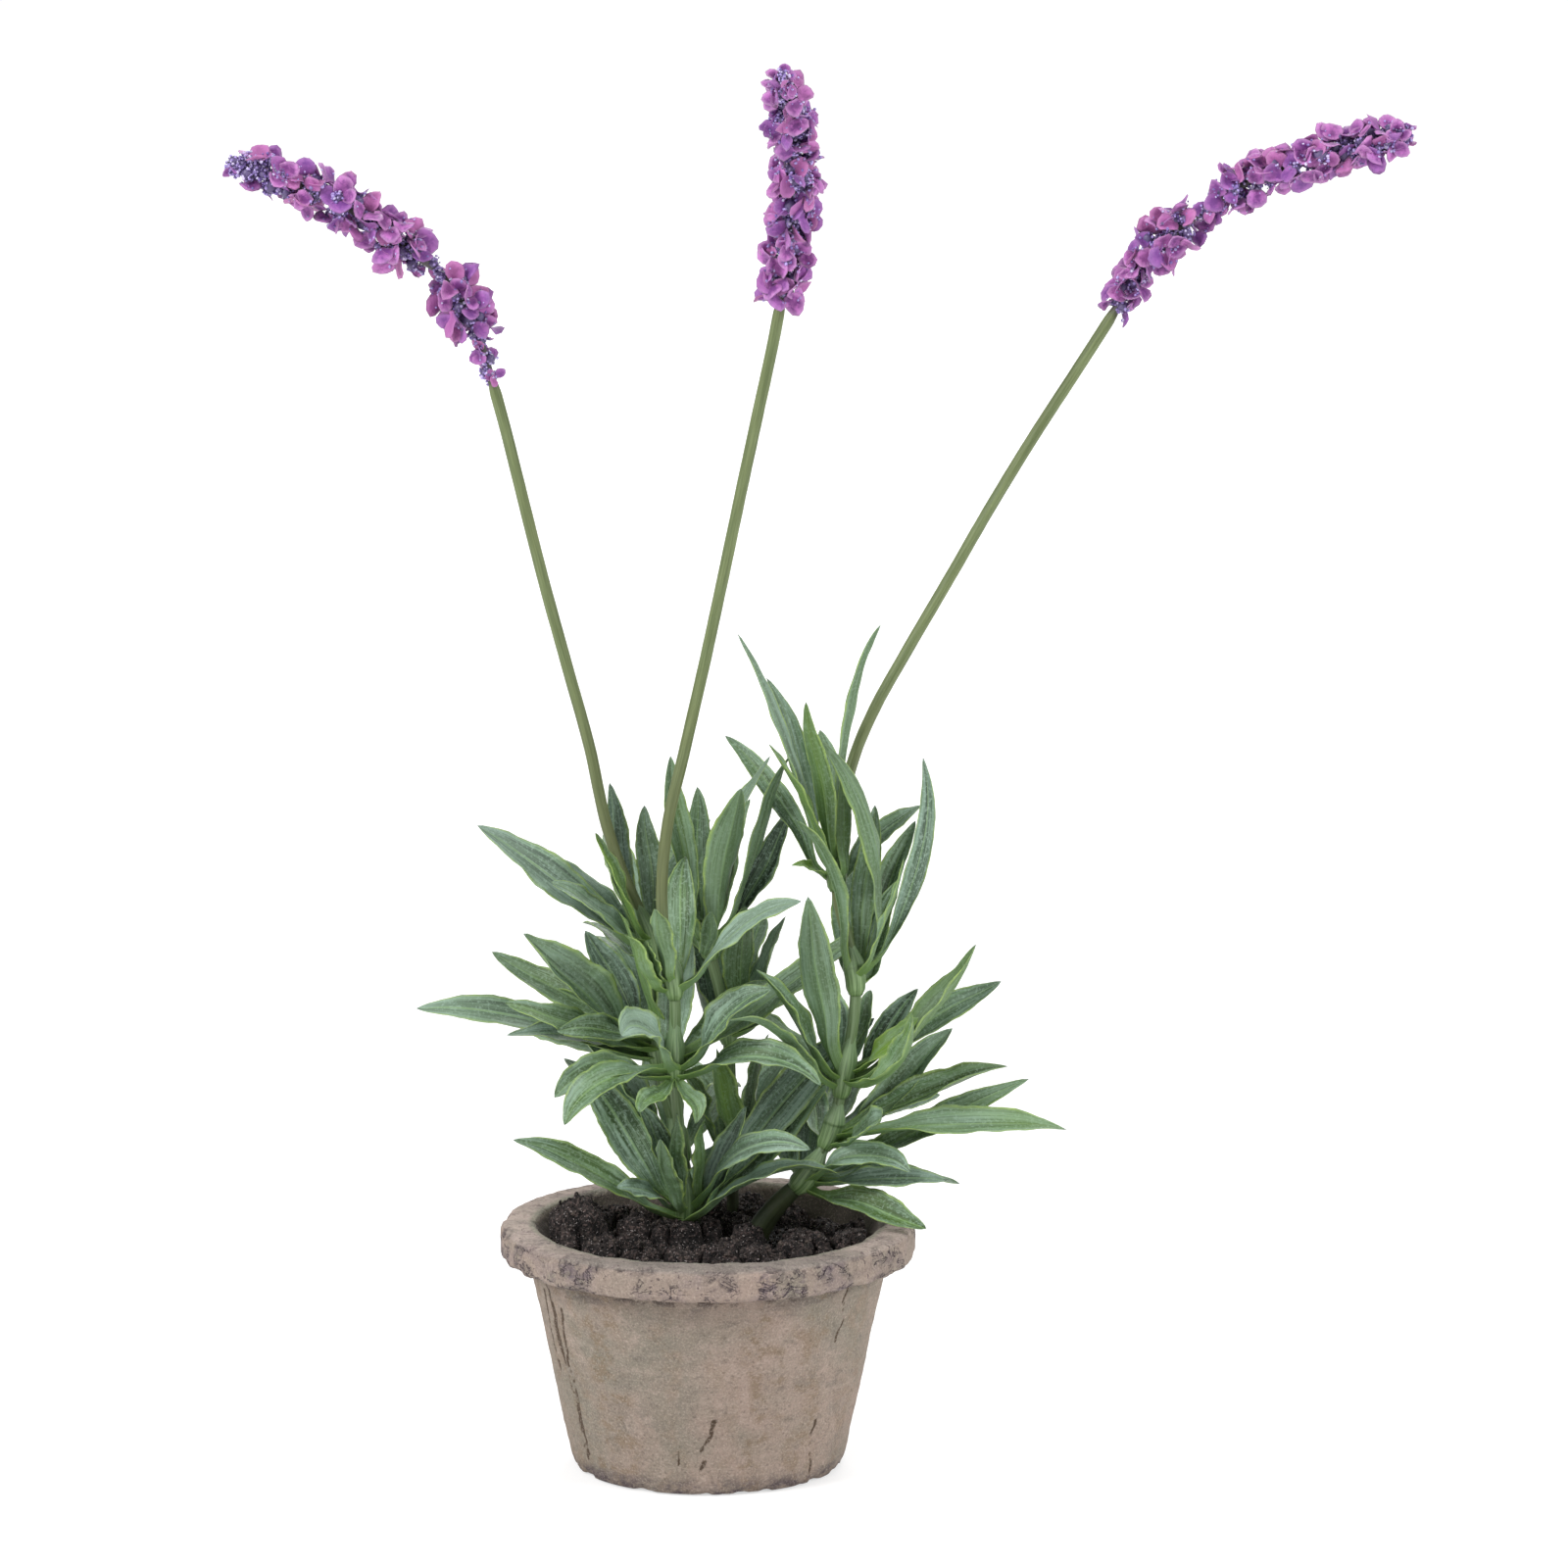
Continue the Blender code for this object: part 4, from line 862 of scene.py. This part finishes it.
# Clod and crumb are the lowest and highest radius, and how rare the high ones are
soilLook = dict(rings=130, columns=370, spacing=0.8, topDepth=12 * mm, batch=4000, wallRows=8, clods=70,
                clod=(3.2 * mm, 7.0 * mm, 1.6), rise=5.6 * mm, crevice=4.4 * mm, seam=0.30, lift=1.6 * mm,
                crumbs=2900, crumb=(0.25 * mm, 0.85 * mm, 2.5), crumbsTo=0.985, crumbsSit=0.3)
# Clods that stand out: x, y, radius and extra height
bigClods = np.array([(-38, -1, 9.5, 7.6), (-31, -17, 6.0, 1.5), (-16, -22, 6.5, 1.0), (-7, -29, 6.0, 0.5),
                     (3, -27, 6.0, 1.2), (14, -25, 5.5, 0.6), (24, -19, 5.5, 0.8), (-22, 3, 6.0, 1.5),
                     (-42, 8, 5.0, 1.5), (31, -8, 5.0, 0.6)]) * mm


def soilShells():
    points, triangles, _ = nodeMesh("soil")
    low, high = np.array(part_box("soil"))
    centre, radius = (low + high) / 2, (high[0] - low[0]) / 2
    a, b, c = (points[triangles[:, k]] for k in range(3))
    middles = (a + b + c) / 3
    upward = unit(np.cross(b - a, c - a))[:, 2] > 0.5
    tops = middles[upward & (middles[:, 2] > high[2] - soilLook["topDepth"])]
    rng = np.random.default_rng(7)
    share = np.linspace(0, 1, soilLook["rings"]) ** soilLook["spacing"]
    turn = circle(soilLook["columns"])
    flat = around(centre, radius * share[:, None], turn, 0.0).reshape(-1, 3)
    spot = flat[:, :2]
    clodSpots = rng.uniform(-1, 1, (soilLook["clods"], 2)) * radius + centre[:2]
    clodSizes = sizes(rng, *soilLook["clod"], soilLook["clods"])
    clodRise = rng.uniform(0.3, 0.8, soilLook["clods"])
    clodSpots = np.concatenate([clodSpots, bigClods[:, :2]])
    clodSizes = np.concatenate([clodSizes, bigClods[:, 2]])
    clodRise = np.concatenate([clodRise, 0.8 + bigClods[:, 3] / soilLook["rise"]])
    clodRise = clodRise * np.minimum(clodSizes / soilLook["clod"][1], 1)
    wobbled = spot + np.stack([layered(flat, (3.4, seed, 1.1), (1.3, seed + 2, 0.35)) for seed in (11, 12)],
                              -1) * mm
    base, heap, gap = np.zeros((3, len(spot)))
    for start in range(0, len(spot), soilLook["batch"]):
        part = slice(start, start + soilLook["batch"])
        # the CAD soil's height, weighted by nearness
        far = ((spot[part, None] - tops[None, :, :2]) ** 2).sum(-1) + 1e-8
        weight = far ** -1.5
        base[part] = (weight * tops[None, :, 2]).sum(1) / weight.sum(1)
        near = np.linalg.norm(wobbled[part, None] - clodSpots[None], axis=-1) / clodSizes
        heap[part] = (np.sqrt(np.clip(1 - near**2, 0, 1)) * clodRise).max(1)
        # narrow crevices where clods meet, and wide ones away from them
        first, second = np.partition(near, 1, axis=1)[:, :2].T
        seam = 1 - smoothStep(second - first, 0.0, soilLook["seam"])
        gap[part] = np.maximum(smoothStep(first, 0.75, 1.15), seam * 0.85)
    rough = layered(flat, (1.5, 15, 0.55), (0.85, 16, 0.50), (5, 17, 0.5)) * mm
    z = base + heap * soilLook["rise"] - gap * soilLook["crevice"] + rough + soilLook["lift"]
    grid = np.column_stack([spot, z]).reshape(len(share), len(turn), 3)
    # the wall follows the pot down and the bottom closes it
    levels = np.linspace(grid[-1, :, 2].min() - 1 * mm, low[2], soilLook["wallRows"])
    bottom = points[points[:, 2] < low[2] + 0.1 * mm, :2] - centre[:2]
    reach = np.interp(levels, [low[2], high[2] - 6 * mm], [np.hypot(*bottom.T).max(), radius])
    grid = np.concatenate([grid[1:], around(centre, reach[:, None], turn, levels[:, None])])
    points, quads, fans = capped(grid)
    points[-2] = [centre[0], centre[1], z[0]]
    # painted shade: the tone's first number darkens the crevices and the edge down along the pot wall
    shade = np.concatenate([gap[len(turn):], np.ones(len(levels) * len(turn)), [0, 1]])
    tone = shade[:, None] * [1, 0, 0, 0] + [0, 0, 0, 1]
    shells = [shell(points, quads, fans, marks={"tone": tone})]
    # loose crumbs, each sunk into the surface
    count = soilLook["crumbs"]
    reach = radius * soilLook["crumbsTo"] * np.sqrt(rng.random(count))
    bearing = rng.uniform(0, 2 * math.pi, count)
    ringAt = ((reach / radius) ** (1 / soilLook["spacing"]) * (len(share) - 1)).round().astype(int)
    columnAt = (bearing / (2 * math.pi) * len(turn)).round().astype(int) % len(turn)
    size = sizes(rng, *soilLook["crumb"], count)
    middle = around(centre, reach, bearing, z[ringAt * len(turn) + columnAt] + size * soilLook["crumbsSit"])
    form = middle[:, None] + ball[None] * size[:, None, None] * rng.uniform(0.6, 1.25, (
        count, 1, 3)) * rng.uniform(0.8, 1.15, (count, len(ball), 1))
    tone = np.stack([rng.random(count) * 0.3, rng.random(count), np.ones(count), np.ones(count)], -1)
    return shells + [copies(form, noQuads, ballFaces, tone[:, None])]


soilEarth, tree, shader, place = newMaterial("soilEarth", 0.35)
# depth, the tone's first number, is painted shade in the crevices and along the pot wall
depth, chance, crumb, _ = toneParts()
cloud = noise(place, 330.0, 4.0, 0.7)
bits = noise(place, 1000.0, 1.5, 0.6)
# pale flecks painted as glints: painted highlights on the earth
paintedGlints = fade(noise(place, 1500.0, 1.0), 0.66, 0.71)
skin = coats(blend(fade(cloud, 0.35, 0.68), tint(16, 13, 13), tint(66, 57, 54)),
             (fade(bits, 0.54, 0.66, 0.0, 0.65), 104, 88, 84), (fade(bits, 0.36, 0.46, 0.7, 0.0), 9, 7, 7),
             (times(depth, 0.9), 7, 6, 6), (times(paintedGlints, 0.6), 176, 166, 164),
             (times(crumb, fade(chance, 0.7, 1.0, 0.0, 0.5)), 110, 98, 90))
relief = sums("ADD", grained(place, 1400.0, 0.6)[1], sums("ADD", cloud, bits))
dress(skin, fade(cloud, 0.3, 0.7, 0.95, 0.75), relief, 0.8 * mm, 1.0)
makePiece("earth", soilShells(), ["soil"], [soilEarth])
print("soil made")


# Pot: the CAD pot's own profile, carried round finely, with chips along the rim and worn soft clay

# Chip is the lowest and highest size, and how rare the high ones are. Hidden, rim and wall are the
# distances between rows of points in those parts.
potLook = dict(columns=480, hidden=6 * mm, rim=0.55 * mm, wall=0.95 * mm, wobble=0.35 * mm,
               rough=0.10 * mm, pits=0.05 * mm, sunk=0.1 * mm, scratch=0.28 * mm, wear=2.0 * mm, chips=46,
               chip=(1.4 * mm, 4.2 * mm, 2), chipDepth=0.5 * mm)

# Scratches: width in mm, then bearing in degrees and level in mm along each
potScratches = ((0.7, ((-87, 24), (-88.5, 19), (-91, 14), (-93, 8))), (0.5, ((-100, 18), (-102, 10))),
                (1.0, ((-154, 58), (-152, 40), (-149, 20), (-148, 6))),
                (0.8, ((-147, 52), (-149, 30), (-146, 8))), (0.7, ((-159, 56), (-158, 30))),
                (0.6, ((-38, 60), (-40, 44))), (0.55, ((-45, 20), (-43, 4))),
                (0.6, ((40, 58), (44, 20), (43, 5))), (0.5, ((120, 40), (117, 12))),
                (0.5, ((75, 22), (82, 8))))

# Bruised and veined parts of the rim band: bearing, half width in degrees, and strength
potBruises = ((-130, 9, 1.0), (-152, 8, 0.7), (-172, 7, 0.8), (-104, 4, 0.5), (-70, 6, 1.0), (-50, 7, 0.85),
              (-27, 6, 0.6), (-84, 3, 0.4), (5, 9, 0.8), (38, 12, 0.7), (84, 10, 0.9), (128, 14, 0.8))


def potProfile():
    # Radius and height along the pot's section, from the middle of its foot up and into the cup's floor
    points, _, edges = nodeMesh("pot")
    radius = np.hypot(points[:, 0], points[:, 1])
    side = np.round(np.degrees(np.arctan2(points[:, 1], points[:, 0])), 2)
    values, counts = np.unique(side[radius > 10 * mm], return_counts=True)
    line = values[np.argmax(counts)]
    chosen = np.flatnonzero((np.abs(side - line) < 0.05) | (radius < 1e-5))
    links = edges[np.isin(edges, chosen).all(1)]
    at = chosen[np.lexsort((radius[chosen], points[chosen, 2].round(6)))[0]]
    order, seen = [at], {at}
    while True:
        following = [k for k in links[links[:, 0] == at, 1] if k not in seen]
        if not following:
            break
        at = min(following, key=lambda k: np.linalg.norm(points[k] - points[order[-1]]))
        seen.add(at)
        order.append(at)
    return np.stack([radius[order], points[order, 2]], -1)


def potShell():
    profile = potProfile()
    top = profile[:, 1].max()
    steps = np.linalg.norm(np.diff(profile, axis=0), axis=1)
    fineProfile = [profile[0]]
    for k, step in enumerate(steps):
        z = (profile[k, 1] + profile[k + 1, 1]) / 2
        hidden = z < 0.1 * mm or (profile[k, 0] < 50 * mm and profile[k + 1, 1] < top - 16 * mm
                                  and k > np.argmax(profile[:, 0]) + 2)
        spacing = potLook["hidden" if hidden else "rim" if z > top - 13 * mm else "wall"]
        pieces = max(1, int(np.ceil(step / spacing)))
        for share in np.arange(1, pieces + 1) / pieces:
            fineProfile.append(profile[k] * (1 - share) + profile[k + 1] * share)
    fineProfile = np.array(fineProfile)[1:-1]
    r, z = fineProfile.T
    turn = circle(potLook["columns"])
    ringR = np.repeat(r, len(turn))
    angle = np.tile(turn, len(r))
    grid = around((0, 0), ringR, angle, np.repeat(z, len(turn)))
    outAlong, upAlong = np.repeat(unit(np.gradient(fineProfile, axis=0)), len(turn), axis=0).T
    out = around((0, 0), upAlong, angle, -outAlong)
    calm = smoothStep(grid[:, 2], 0.0, 4 * mm)
    push = (lumps(grid * [1, 1, 1.6], 22 * mm, 21) * potLook["wobble"]
            + lumps(grid * [1, 1, 2.2], 5 * mm, 22) * potLook["rough"] * 1.2
            + lumps(grid, 2.1 * mm, 23) * potLook["rough"] * 0.7
            + lumps(grid, 0.9 * mm, 24) * potLook["pits"]) * calm - potLook["sunk"]
    # scratches: grooves along lines given by bearing, level and width, broken up by a little noise
    score = np.zeros(len(grid))
    degrees, level = np.degrees(angle), grid[:, 2] / mm
    outer = np.repeat(np.arange(len(r)), len(turn)) < np.argmax(r)
    stray = layered(grid, (5, 26, 1.3), (1.6, 30, 0.5))
    broken = smoothStep(layered(grid, (3, 27, 1), (1.2, 31, 0.5)), -0.7, 0.0)
    for width, marks in potScratches:
        bearings, levels = np.array(marks[::-1], float).T
        aside = (degrees - np.interp(level, levels, bearings) + 180) % 360 - 180
        aside = aside * np.radians(1) * ringR / mm + stray
        within = (level > levels[0] - 0.5) & (level < levels[-1] + 0.5) & outer
        score = np.maximum(score, np.exp(-(aside / width) ** 2) * within * broken)
    push = push - score * potLook["scratch"]
    # the rim's and foot's edges are worn unevenly
    rimR = r.max()
    worn = smoothStep(layered(grid, (6, 28, 1), (2.4, 29, 0.7)), -0.25, 0.9)
    for edgeR, edgeZ, depth in ((rimR, top - 0.5 * mm, 0.8), (rimR, top - 10.0 * mm, 0.9),
                                (r[z < 2 * mm].max(), 0.5 * mm, 0.9), (rimR - 10.4 * mm, top, 0.5)):
        close = np.exp(-((ringR - edgeR) ** 2 + (grid[:, 2] - edgeZ) ** 2) / potLook["wear"] ** 2)
        push = push - close * worn * depth * mm
    # chips: hollows with ragged edges along the rim's edges
    cut, ragged = np.zeros(len(grid)), lumps(grid, 1.3 * mm, 25) * 0.22
    rng = np.random.default_rng(21)
    edges = np.array([(rimR, top - 0.4 * mm), (rimR, top - 9.6 * mm), (rimR - 10.2 * mm, top - 0.3 * mm)])
    for edgeR, edgeZ in edges[rng.choice(3, potLook["chips"], p=[0.5, 0.3, 0.2])]:
        angleAt = rng.uniform(0, 2 * math.pi)
        size = sizes(rng, *potLook["chip"])
        offset = grid - around((0, 0), edgeR, angleAt, edgeZ)
        along = offset @ [-math.sin(angleAt), math.cos(angleAt), 0]
        far = np.sqrt((along / rng.uniform(1.2, 2.6)) ** 2 + (offset**2).sum(1) - along**2)
        far = far / size + ragged
        cut = np.maximum(cut, (1 - smoothStep(far, 0.55, 0.95)) * potLook["chipDepth"] * rng.uniform(
            0.4, 1.1) * (np.abs(along) < size * 4))
    grid = grid + out * (push - cut)[:, None]
    points, quads, fans = capped(grid.reshape(len(r), len(turn), 3))
    points[-2:] = [[0, 0, profile[0, 1]], [0, 0, profile[-1, 1]]]
    # where on the pot: 0 outside, 0.5 on the rim's top, 1 inside
    zone = np.where(np.arange(len(r)) > np.argmax(z), 1.0, 0.0)
    zone[z > top - 1.2 * mm] = 0.5
    zone = np.repeat(np.convolve(np.pad(zone, 2, mode="edge"), np.ones(5) / 5, mode="valid"), len(turn))
    hollow = np.clip((cut - 0.1 * mm) / (0.4 * mm), 0, 1)
    bruised, strayed = np.zeros(len(grid)), degrees + lumps(grid, 7 * mm, 32) * 7
    for bearing, width, strength in potBruises:
        aside = (strayed - bearing + 180) % 360 - 180
        bruised = np.maximum(bruised, strength * (1 - smoothStep(np.abs(aside), width * 0.6, width * 1.3)))
    bruised = bruised * smoothStep(layered(grid, (3.4, 33, 1), (1.5, 34, 0.5)), -0.6, 0.1)
    tone = np.vstack([np.column_stack([zone, hollow, score, bruised]), [[0, 0, 0, 0], [1, 0, 0, 0]]])
    return shell(points, quads, fans, marks={"tone": tone})


clay, tree, shader, place = newMaterial("weatheredClay", 0.25)
zone, hollow, scratch, bruised = toneParts()
_, depth, height = addNode("SeparateXYZ", {0: place})
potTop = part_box("pot")[1][2]


def belowTop(low, high, *ends):
    # A fade between two distances in mm below the pot's top
    return fade(height, potTop - low * mm, potTop - high * mm, *ends)


wide, small = mottled(place, 26.0, 0.2, 0.5), mottled(place, 120.0, 0.14, 0.55)
dim = mottled(stretched(place, (1, 1, 1.8), shift=(0.3, 0.1, 0.7)), 42.0, 0.08, 0.6)
cloudy = noise(stretched(place, (1, 1, 1.7)), 170.0, 5.0, 0.7)
turned = noise(stretched(place, (6, 6, 420)), 1.0)  # lines left by turning
skin = coats(blend(wide, tint(126, 121, 109), tint(152, 134, 123)),
             (times(small, 0.4), 126, 116, 102), (times(dim, 0.5), 116, 110, 102),
             (fade(cloudy, 0.52, 0.70, 0.0, 0.4), 170, 152, 141),
             (fade(cloudy, 0.30, 0.46, 0.5, 0.0), 100, 92, 84),
             (fade(turned, 0.5, 0.75, 0.0, 0.2), 172, 158, 146))
# dark bruises on the rim band, painted shadow in patches beneath it, and a darker painted shadow line just
# under the band's lower edge
outside = fade(zone, 0.75, 1.0, 1.0, 0.0)
band, shadowBelowBand = times(belowTop(12.5, 9.5), outside), times(belowTop(20, 11.5), outside)
bruise = mottled(stretched(place, (1, 1, 2.2)), 75.0, 0.05, 0.57)
brown = times(bruised, sums("SUBTRACT", outside, band), fade(cloudy, 0.45, 0.56, 0.1, 0.6))
bluish = mottled(stretched(place, (1, 1, 1.4), shift=(0.2, 0.5, 0.1)), 90.0, 0.05, 0.56)
stain = times(bruised, band, fade(cloudy, 0.47, 0.55, 0.05, 0.75))
plain = sums("SUBTRACT", 0.45, times(bruised, 0.45))
specks = fade(noise(place, 620.0, 2.0), 0.64, 0.69)
# painted shadow line under the rim band's overhang
shadowLineUnderBand = times(belowTop(14, 11.5), belowTop(10.8, 10, 1.0, 0.0), fade(cloudy, 0.42, 0.52, 1.0, 0.1))
# veins: thin lines where a cloudy pattern crosses its middle value, in some parts of the band only
veins = noise(stretched(place, (1, 1, 1.9), turn=(0.2, 0.5, 0)), 150.0, 4.0, 0.62, 1.2)
veins = sums("ABSOLUTE", sums("SUBTRACT", veins, 0.5))
strokes = noise(stretched(place, (520, 520, 110), turn=(0, 0.8, 0)), 1.0, 3.0, 0.6, 0.8)
crack = sums("MAXIMUM", fade(veins, 0.010, 0.026, 1.0, 0.0), fade(strokes, 0.60, 0.65, 0.0, 0.7))
crack = times(crack, times(band, fade(bruised, 0.05, 0.5)))
skin = coats(skin, (times(bruise, shadowBelowBand, 0.5), 96, 88, 86), (brown, 116, 98, 76),
             (times(bluish, band, 0.4), 122, 110, 116), (stain, 92, 80, 88),
             (times(band, plain), 154, 136, 126), (times(specks, band, 0.7), 72, 60, 62),
             (times(crack, 0.92), 54, 44, 54), (times(shadowLineUnderBand, outside, 0.75), 66, 56, 54))
# the rim's top: paler, darker at the front and inner edge, with faint ripples
topFace = sums("SUBTRACT", 1.0, sums("ABSOLUTE", times(sums("SUBTRACT", zone, 0.5), 3.0)), True)
ripples = noise(stretched(place, (150, 420, 150), turn=(0, 0, 0.3)), 1.0)
reach = addNode("VectorMath", {0: stretched(place, (1, 1, 0))}, operation="LENGTH")["Value"]
skin = coats(skin, (times(topFace, 0.6), blend(small, tint(184, 168, 160), tint(136, 128, 120))),
             (times(topFace, fade(depth, -0.052, -0.030, 0.75, 0.0)), 118, 112, 106),
             (times(topFace, fade(ripples, 0.54, 0.66, 0.0, 0.5)), 112, 98, 98),
             (times(topFace, times(specks, 0.7)), 84, 70, 70),
             (times(topFace, fade(reach, 0.0505, 0.0525, 0.65, 0.0)), 118, 120, 104))
# the inside, chips, scratches, a darker foot, pits and sand
foot = times(fade(height, 0.0015, 0.0065, 1.0, 0.0), fade(cloudy, 0.42, 0.56, 0.95, 0.25))
pits, relief = grained(place, 620.0, 0.7)
sandy = noise(place, 1700.0, 2.0, 0.7)
skin = coats(skin, (times(fade(zone, 0.7, 1.0), 0.85), 92, 84, 80), (times(hollow, 0.75), 78, 68, 70),
             (fade(scratch, 0.15, 0.7, 0.0, 0.95), 70, 56, 44), (foot, 78, 68, 72),
             (times(pits, 0.4), 96, 86, 78), (fade(sandy, 0.5, 0.72, 0.0, 0.35), 190, 176, 164),
             (fade(sandy, 0.3, 0.48, 0.3, 0.0), 84, 76, 70))
relief = sums("SUBTRACT", sums("ADD", relief, times(turned, 0.8)), times(crack, 1.5))
dress(skin, fade(small, 0.0, 1.0, 0.92, 0.78), relief, 0.35 * mm, 0.8)
makePiece("clayPot", [potShell()], ["pot"], [clay])
print("pot made")


# Floor, lights and camera

stageLook = dict(floor=14.0, camera=(0.022, -2.1639, 0.5968), tilt=79.6, lens=176.8, sensor=36, far=60,
                 aim=(0, 0, 0.17), world=0.52, glow=0.45,
                 lights=(("keyLight", (-2.3, -1.5, 2.2), 1.5, 88), ("fillLight", (2.5, -1.2, 1.7), 1.5, 52),
                         ("backLight", (0.6, 2.6, 2.2), 1.8, 45)))

half = stageLook["floor"] / 2
mesh = bpy.data.meshes.new("floor")
mesh.from_pydata([(-half, -half, 0), (half, -half, 0), (half, half, 0), (-half, half, 0)], [], [(0, 1, 2, 3)])
floor = bpy.data.objects.new("floor", mesh)
bpy.context.scene.collection.objects.link(floor)
paper, tree, shader, place = newMaterial("palePaper", 0.1, Roughness=0.9)
tree.links.new(blend(noise(place, 3.0), (0.92, 0.92, 0.92, 1), (0.94, 0.94, 0.94, 1)),
               shader.inputs["Base Color"])
# lit from below as on a light table, but only as it is seen, so it doesn't light the object
reach = addNode("VectorMath", {0: place}, operation="LENGTH")["Value"]
glow = addNode("Emission", {"Color": (1, 1, 1, 1), "Strength": fade(reach, 0.2, 2.2, 1.28, 1.62)})
seen = times(addNode("LightPath", {})["Is Camera Ray"], stageLook["glow"])
mixed = addNode("MixShader", {0: seen, 1: shader.outputs[0], 2: glow[0]})
tree.links.new(mixed[0], tree.nodes["Material Output"].inputs[0])
mesh.materials.append(paper)

for name, spot, size, power in stageLook["lights"]:
    lamp = bpy.data.lights.new(name, "AREA")
    lamp.shape, lamp.size, lamp.energy = "DISK", size, power
    lampObject = bpy.data.objects.new(name, lamp)
    aim = np.array(stageLook["aim"]) - spot
    lampObject.location = spot
    lampObject.rotation_euler = (math.atan2(math.hypot(aim[0], aim[1]), -aim[2]), 0,
                                 math.atan2(aim[1], aim[0]) - math.pi / 2)
    bpy.context.scene.collection.objects.link(lampObject)

world = bpy.data.worlds.new("softSky")
world.use_nodes = True
tree = world.node_tree
sky = tree.nodes["Background"]
sky.inputs[0].default_value = (1.0, 1.0, 1.0, 1)
seen = addNode("LightPath", {})["Is Camera Ray"]
tree.links.new(addNode("MapRange", {"Value": seen, "To Min": stageLook["world"], "To Max": 1.0})[0],
               sky.inputs[1])
bpy.context.scene.world = world
bpy.context.scene.view_settings.view_transform = "Standard"

lens = bpy.data.cameras.new("camera")
lens.lens, lens.sensor_width, lens.clip_end = (stageLook[key] for key in ("lens", "sensor", "far"))
camera = bpy.data.objects.new("camera", lens)
camera.location = stageLook["camera"]
camera.rotation_euler = (math.radians(stageLook["tilt"]), 0, 0)
bpy.context.scene.collection.objects.link(camera)
bpy.context.scene.camera = camera
print("stage set")
